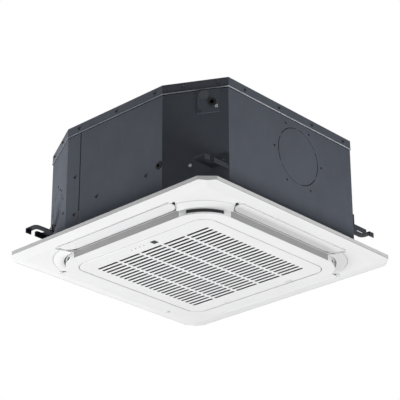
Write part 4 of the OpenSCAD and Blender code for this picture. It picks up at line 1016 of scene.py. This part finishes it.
@dataclass
class Coil(Group):
    """The finned coil bent round three corners, with its tubes, headers and closing plate.

    Attributes:
        half: half the width of the coil's square, outside.
        end_x: how far left of the middle it starts, on the back face.
        end_y: how far behind the middle it ends, on the left face.
        fin_gap: how much shorter a fin is than the depth.
        tube_shares: how deep each row of tubes lies, as a share of the depth.
        foot_share: the lowest tube's height over the foot, as a share of the tubes' pitch.
    """

    half: float = 0.218
    depth: float = 0.028
    corner: float = 0.060
    low: float = field(init=False)
    high: float = field(init=False)
    end_x: float = 0.080
    end_y: float = 0.110
    fin_pitch: float = 0.0022
    fin_t: float = 0.0002
    fin_gap: float = 0.0002
    tube_d: float = 0.0089
    tube_pitch: float = 0.025
    tube_shares: Span = (0.25, 0.75)
    foot_share: float = 0.6
    rows: int = 8
    finishes: dict[str, str] = field(default_factory=lambda: {
        "coil_bends": "copper", "coil_end_plates": "galvanised", "inlet_header": "brass",
        "outlet_header": "brass", "vent_screw": "zinc", "closing_plate": "galvanised"})

    def __post_init__(self) -> None:
        """Takes the fins' levels from their solid."""
        self.low, self.high = (corner.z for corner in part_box("coil_fins"))

    def build(self) -> None:
        """Dresses the pipework and grows the fins and tubes."""
        super().build()
        self.fins()
        self.tubes()

    def line(self, inset: float, level: float, steps: int = 10) -> list[Vector]:
        """The coil's course at one level, drawn in from its outer face.

        Args:
            inset: how far it runs inside the outer face.
            level: its height.
            steps: points on each rounded corner.

        Returns:
            Its points, from the end on the back face round to the end on the left face.
        """
        half, radius = self.half - inset, self.corner - inset
        points = [Vector((-self.end_x, half, level))]
        for sx, sy, start in ((1, 1, 90), (1, -1, 0), (-1, -1, -90)):
            centre = Vector((sx * (half - radius), sy * (half - radius), level))
            turns = [math.radians(start - 90 * k / steps) for k in range(steps + 1)]
            points += [centre + Vector((math.cos(a), math.sin(a), 0.0)) * radius for a in turns]
        return points + [Vector((-half, self.end_y, level))]

    def fins(self) -> None:
        """Thin fins across the coil's course."""
        g = Grower("coil_fin_stack", {"Fin pitch": self.fin_pitch, "Fin thickness": self.fin_t,
                                      "Fin depth": self.depth - self.fin_gap,
                                      "Fin height": self.high - self.low})
        line = g.out("GeometryNodeMeshToCurve", {0: g.host})
        spaced = g.out("GeometryNodeResampleCurve", {0: line, "Length": g.size["Fin pitch"]}, mode="LENGTH")
        size = g.move(g.size["Fin thickness"], g.size["Fin depth"], g.size["Fin height"])
        fin = g.out("GeometryNodeMeshCube", {"Size": size})
        along = g.out("GeometryNodeInputTangent")
        lean = g.out("FunctionNodeAlignRotationToVector", {"Vector": along}, axis="X", pivot_axis="Z")
        stack = g.out("GeometryNodeInstanceOnPoints", {"Points": spaced, "Instance": fin, "Rotation": lean})
        course = self.line(self.depth / 2, (self.low + self.high) / 2)
        host = host_mesh(course, [(k, k + 1) for k in range(len(course) - 1)])
        place(g.grow(stack, host, "coil_fin_pack", "fin_aluminium"), Body.UNIT, "fins", "coil_fins")

    def tubes(self) -> None:
        """Two rows of copper tubes that run through the fins."""
        g = Grower("coil_tube_rows", {"Tube diameter": self.tube_d, "Tube pitch": self.tube_pitch,
                                      "Rows": self.rows})
        line = g.out("GeometryNodeMeshToCurve", {0: g.host})
        ring = g.out("GeometryNodeCurvePrimitiveCircle", {
            "Resolution": 10, "Radius": g.times(g.size["Tube diameter"], 0.5)})
        tube = g.out("GeometryNodeCurveToMesh", {0: line, 1: ring, "Fill Caps": True})
        climb = g.move(z=g.size["Tube pitch"])
        rungs = g.out("GeometryNodeMeshLine", {"Count": g.size["Rows"], "Offset": climb})
        rows = g.out("GeometryNodeInstanceOnPoints", {"Points": rungs, "Instance": tube})
        points, edges = [], []
        for share in self.tube_shares:
            first = len(points)
            points += self.line(self.depth * share, self.low + self.tube_pitch * self.foot_share)
            edges += [(k, k + 1) for k in range(first, len(points) - 1)]
        place(g.grow(rows, host_mesh(points, edges), "coil_tube_runs", "copper"), Body.UNIT, "copper")


@dataclass
class Filter:
    """The washable air filter behind the grille: a ribbed frame with a woven net.

    Attributes:
        lap: how far one set of threads lies over the other, in threads.
        net_drop: how far the net lies below the filter's top.
    """

    frame_w: float = 0.008
    edge_r: float = 0.0004
    bars: int = 4
    bar_w: float = 0.002
    thread: float = 0.0004
    pitch: float = 0.0012
    lap: float = 0.9
    net_drop: float = 0.0009

    def build(self) -> None:
        """Grows the net and models the frame round it."""
        low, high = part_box("air_filter")
        self.net(low, high)
        self.rim(low, high)

    def net(self, low: Vector, high: Vector) -> None:
        """Two crossing sets of threads.

        Args:
            low: the filter's lowest corner.
            high: its highest corner.
        """
        wide, deep = high.x - low.x - self.frame_w, high.y - low.y - self.frame_w
        g = Grower("filter_net", {"Thread": self.thread, "Pitch": self.pitch, "Width": wide, "Depth": deep,
                                  "Lap": self.lap})
        thick, pitch = g.size["Thread"], g.size["Pitch"]
        both = g.add("GeometryNodeJoinGeometry")
        lap, quarter = g.times(thick, g.size["Lap"]), math.pi / 2
        for across, along, turn, lift in (("Width", "Depth", 0.0, 0.0), ("Depth", "Width", quarter, lap)):
            count = g.maths("FLOOR", g.maths("DIVIDE", g.size[across], pitch))
            start = g.times(g.times(g.maths("SUBTRACT", count, 1.0), pitch), -0.5)
            row = g.out("GeometryNodeMeshLine", {"Count": count, "Start Location": g.move(start),
                                                 "Offset": g.move(pitch)})
            thread = g.out("GeometryNodeMeshCube", {"Size": g.move(thick, g.size[along], thick)})
            woven = g.out("GeometryNodeInstanceOnPoints", {"Points": row, "Instance": thread})
            turned = g.out("GeometryNodeTransform", {0: woven, "Rotation": (0.0, 0.0, turn),
                                                     "Translation": g.move(z=lift)})
            g.fill(both.inputs[0], turned)
        middle = ((low.x + high.x) / 2, (low.y + high.y) / 2, high.z - self.net_drop)
        moved = g.out("GeometryNodeTransform", {0: both.outputs[0], "Translation": middle})
        net = g.grow(moved, host_mesh([(0, 0, 0)]), "filter_net", "net_thread")
        place(net, Body.GRILLE, "net", "air_filter")

    def rim(self, low: Vector, high: Vector) -> None:
        """The frame with rounded edges, and its cross bars.

        Args:
            low: the filter's lowest corner.
            high: its highest corner.
        """
        mesh = bmesh.new()
        w = self.frame_w
        blocks = [(low.x, low.y, high.x, low.y + w), (low.x, high.y - w, high.x, high.y),
                  (low.x, low.y + w, low.x + w, high.y - w), (high.x - w, low.y + w, high.x, high.y - w)]
        for k in range(1, self.bars + 1):
            x = low.x + (high.x - low.x) * k / (self.bars + 1)
            blocks.append((x - self.bar_w / 2, low.y + w, x + self.bar_w / 2, high.y - w))
        for x0, y0, x1, y1 in blocks:
            size = Vector((x1 - x0, y1 - y0, high.z - low.z))
            spot = Matrix.Translation(((x0 + x1) / 2, (y0 + y1) / 2, (low.z + high.z) / 2))
            bmesh.ops.create_cube(mesh, size=1.0, matrix=spot @ Matrix.Diagonal((*size, 1.0)))
        data = bpy.data.meshes.new("filter_frame")
        mesh.to_mesh(data)
        mesh.free()
        obj = piece("filter_frame_raw", data, "net_thread")
        soften(obj, self.edge_r)
        place(settle(obj, "filter_frame"), Body.GRILLE, "net")


@dataclass
class Panel(Group):
    """The white ceiling panel, its louvers, corner covers and the gasket on top."""

    finishes: dict[str, str] = field(default_factory=lambda: {
        "panel_frame": "panel_plastic", "panel_gasket": "black_foam", "louver_motors": "black_plastic",
        "slot_inserts": "black_plastic", "panel_screws": "zinc", "corner_cover_front_left": "cover_plastic",
        "corner_cover_front_right": "cover_plastic", "corner_cover_back_right": "cover_plastic",
        "corner_cover_back_left": "cover_plastic", "louver_front": "louver_plastic",
        "louver_back": "louver_plastic", "louver_right": "side_louver_plastic",
        "louver_left": "side_louver_plastic"})


@dataclass
class Grille(Group):
    """The intake grille door with its latches, receiver window and lamps."""

    finishes: dict[str, str] = field(default_factory=lambda: {
        "intake_grille": "grille_plastic", "latch_left": "grille_plastic", "latch_right": "grille_plastic",
        "receiver_window": "smoked_lens", "status_lamps": "lamp_lens", "display_board": "board"})

    def build(self) -> None:
        """Dresses the door and builds its filter."""
        super().build()
        Filter().build()


@dataclass
class Blower(Group):
    """The fan with its motor, and the bell mouth below it."""

    finishes: dict[str, str] = field(default_factory=lambda: {
        "fan_impeller": "fan_plastic", "fan_nut": "zinc", "motor_case": "motor_steel",
        "motor_stator": "copper", "motor_rotor": "motor_steel", "motor_shaft": "zinc",
        "motor_bearings": "zinc", "motor_mounts": "rubber", "motor_bolts": "zinc",
        "bell_mouth": "black_plastic"})


@dataclass
class Drain(Group):
    """The foam drain pan with its pump, hose and float switch."""

    finishes: dict[str, str] = field(default_factory=lambda: {
        "drain_pan": "white_foam", "pump_body": "pump_plastic", "pump_rotor": "pump_plastic",
        "pump_bracket": "galvanised", "drain_hose": "hose_plastic", "float_stem": "pump_plastic",
        "float_ring": "pump_plastic"})


@dataclass
class ControlBox(Group):
    """The control box in the intake, with its board and terminals."""

    finishes: dict[str, str] = field(default_factory=lambda: {
        "control_box": "galvanised", "control_box_cover": "galvanised", "control_board": "board",
        "terminal_block": "black_plastic"})


# The studio


def way_to(azimuth: float, elevation: float) -> Vector:
    """The way from the object to a point round it.

    Args:
        azimuth: the turn from the front to the right, in degrees.
        elevation: the height over the object's level, in degrees.

    Returns:
        The way, one metre long.
    """
    a, e = math.radians(azimuth), math.radians(elevation)
    return Vector((math.sin(a) * math.cos(e), -math.cos(a) * math.cos(e), math.sin(e)))


@dataclass(frozen=True)
class Lamp:
    """A square soft lamp that faces the object.

    Attributes:
        azimuth: its turn round the object from the front, in degrees to the right.
        elevation: its height over the object's level, in degrees.
        size: its width.
        watts: its power.
        reach: its distance from the origin.
    """

    name: str
    azimuth: float
    elevation: float
    size: float
    watts: float
    reach: float = 2.8

    def build(self) -> None:
        """Hangs the lamp in its place, unseen by the camera."""
        spot = way_to(self.azimuth, self.elevation) * self.reach
        data = bpy.data.lights.new(self.name, "AREA")
        data.size, data.energy = self.size, self.watts
        lamp = bpy.data.objects.new(self.name, data)
        bpy.context.scene.collection.objects.link(lamp)
        lamp.location = spot
        lamp.rotation_mode = "QUATERNION"
        lamp.rotation_quaternion = (-spot).to_track_quat("-Z", "Y")
        lamp.visible_camera = False


@dataclass
class Studio:
    """The camera, the lamps, the white surroundings and the floor.

    Attributes:
        azimuth: the camera's turn from the front to the right, in degrees.
        distance: its distance from the point that it looks at.
        aim_x: how far that point lies to the right of the origin, as it sees it.
        aim_z: how far it lies above the origin.
        floor_level: the floor's own glow, where the camera sees it.
        world_level: the surroundings' strength, as light on the object.
    """

    azimuth: float = 43.092
    elevation: float = -24.802
    roll: float = -0.164
    distance: float = 3.745142
    lens: float = 142.3
    sensor_w: float = 36.0
    clip: Span = (0.05, 50.0)
    aim_x: float = -0.000684
    aim_z: float = 0.081872
    floor_z: float = -4.2
    floor_radius: float = 44.0
    floor_sides: int = 96
    floor_level: float = 0.75
    floor_tones: tuple[Colour, Colour] = ((0.82, 0.82, 0.82), (0.86, 0.86, 0.86))
    world_level: float = 0.09
    white: tuple[float, ...] = (1.0, 1.0, 1.0, 1.0)
    lamps: tuple[Lamp, ...] = (Lamp("left_lamp", -58.0, -29.0, size=1.1, watts=66.0),
                               Lamp("right_lamp", 97.0, -45.0, size=1.2, watts=50.0),
                               Lamp("top_lamp", 0.0, 89.0, size=1.6, watts=40.0))

    def build(self) -> None:
        """Sets up everything round the object."""
        bpy.context.scene.view_settings.view_transform = "Standard"
        self.camera()
        self.surroundings()
        self.floor()
        for lamp in self.lamps:
            lamp.build()

    def camera(self) -> None:
        """The camera at the photograph's place."""
        a, r = math.radians(self.azimuth), math.radians(self.roll)
        back = way_to(self.azimuth, self.elevation)
        right = Vector((math.cos(a), math.sin(a), 0.0))
        up = back.cross(right)
        turned = (right * math.cos(r) + up * math.sin(r), up * math.cos(r) - right * math.sin(r), back)
        data = bpy.data.cameras.new("camera")
        data.lens, data.sensor_width, data.sensor_fit = self.lens, self.sensor_w, "AUTO"
        data.clip_start, data.clip_end = self.clip
        camera = bpy.data.objects.new("camera", data)
        bpy.context.scene.collection.objects.link(camera)
        spot = right * self.aim_x + Vector((0.0, 0.0, self.aim_z)) + back * self.distance
        camera.matrix_world = Matrix.Translation(spot) @ Matrix(turned).transposed().to_4x4()
        bpy.context.scene.camera = camera

    def seen(self, tree: Tree) -> Socket:
        """1 for what the camera, a mirror or glass sees, and 0 for what only lights the object.

        Args:
            tree: the tree of the floor or of the surroundings.

        Returns:
            The value's socket.
        """
        path = tree.add("ShaderNodeLightPath").outputs
        direct = tree.maths("MAXIMUM", path["Is Camera Ray"], path["Is Glossy Ray"])
        return tree.maths("MAXIMUM", direct, path["Is Transmission Ray"])

    def surroundings(self) -> None:
        """White where the camera, a mirror or glass sees it, and a plain soft level for the light."""
        world = bpy.data.worlds.new("white_room")
        world.use_nodes = True
        w = Tree(world.node_tree)
        strength = w.maths("ADD", w.times(self.seen(w), 1.0 - self.world_level), self.world_level)
        light = w.out("ShaderNodeBackground", {"Color": self.white, "Strength": strength})
        w.add("ShaderNodeOutputWorld", {0: light})
        bpy.context.scene.world = world

    def floor(self) -> None:
        """A pale round floor far below the ceiling unit."""
        turns = [math.tau * k / self.floor_sides for k in range(self.floor_sides)]
        reach = self.floor_radius
        rim = [(reach * math.cos(t), reach * math.sin(t), self.floor_z) for t in turns]
        mesh = bpy.data.meshes.new("floor")
        mesh.from_pydata(rim, [], [tuple(range(self.floor_sides))])
        s = Shader("pale_floor")
        base = s.blend(s.spread(s.noise(0.8), 0.3, 0.7), *self.floor_tones)
        mesh.materials.append(s.finish({"Base Color": base, "Roughness": 0.8, "Emission Color": self.white,
                                        "Emission Strength": s.times(self.seen(s), self.floor_level)}))
        piece("floor", mesh)


def main() -> None:
    """Builds the assembly in order, then the studio."""
    logging.basicConfig(level=logging.INFO, format="%(name)s: %(message)s")
    for part in (Casing(), Coil(), Blower(), Drain(), ControlBox(), Panel(), Grille()):
        part.build()
        LOG.info("%s is built", type(part).__name__)
    Studio().build()


if __name__ == "__main__":
    main()
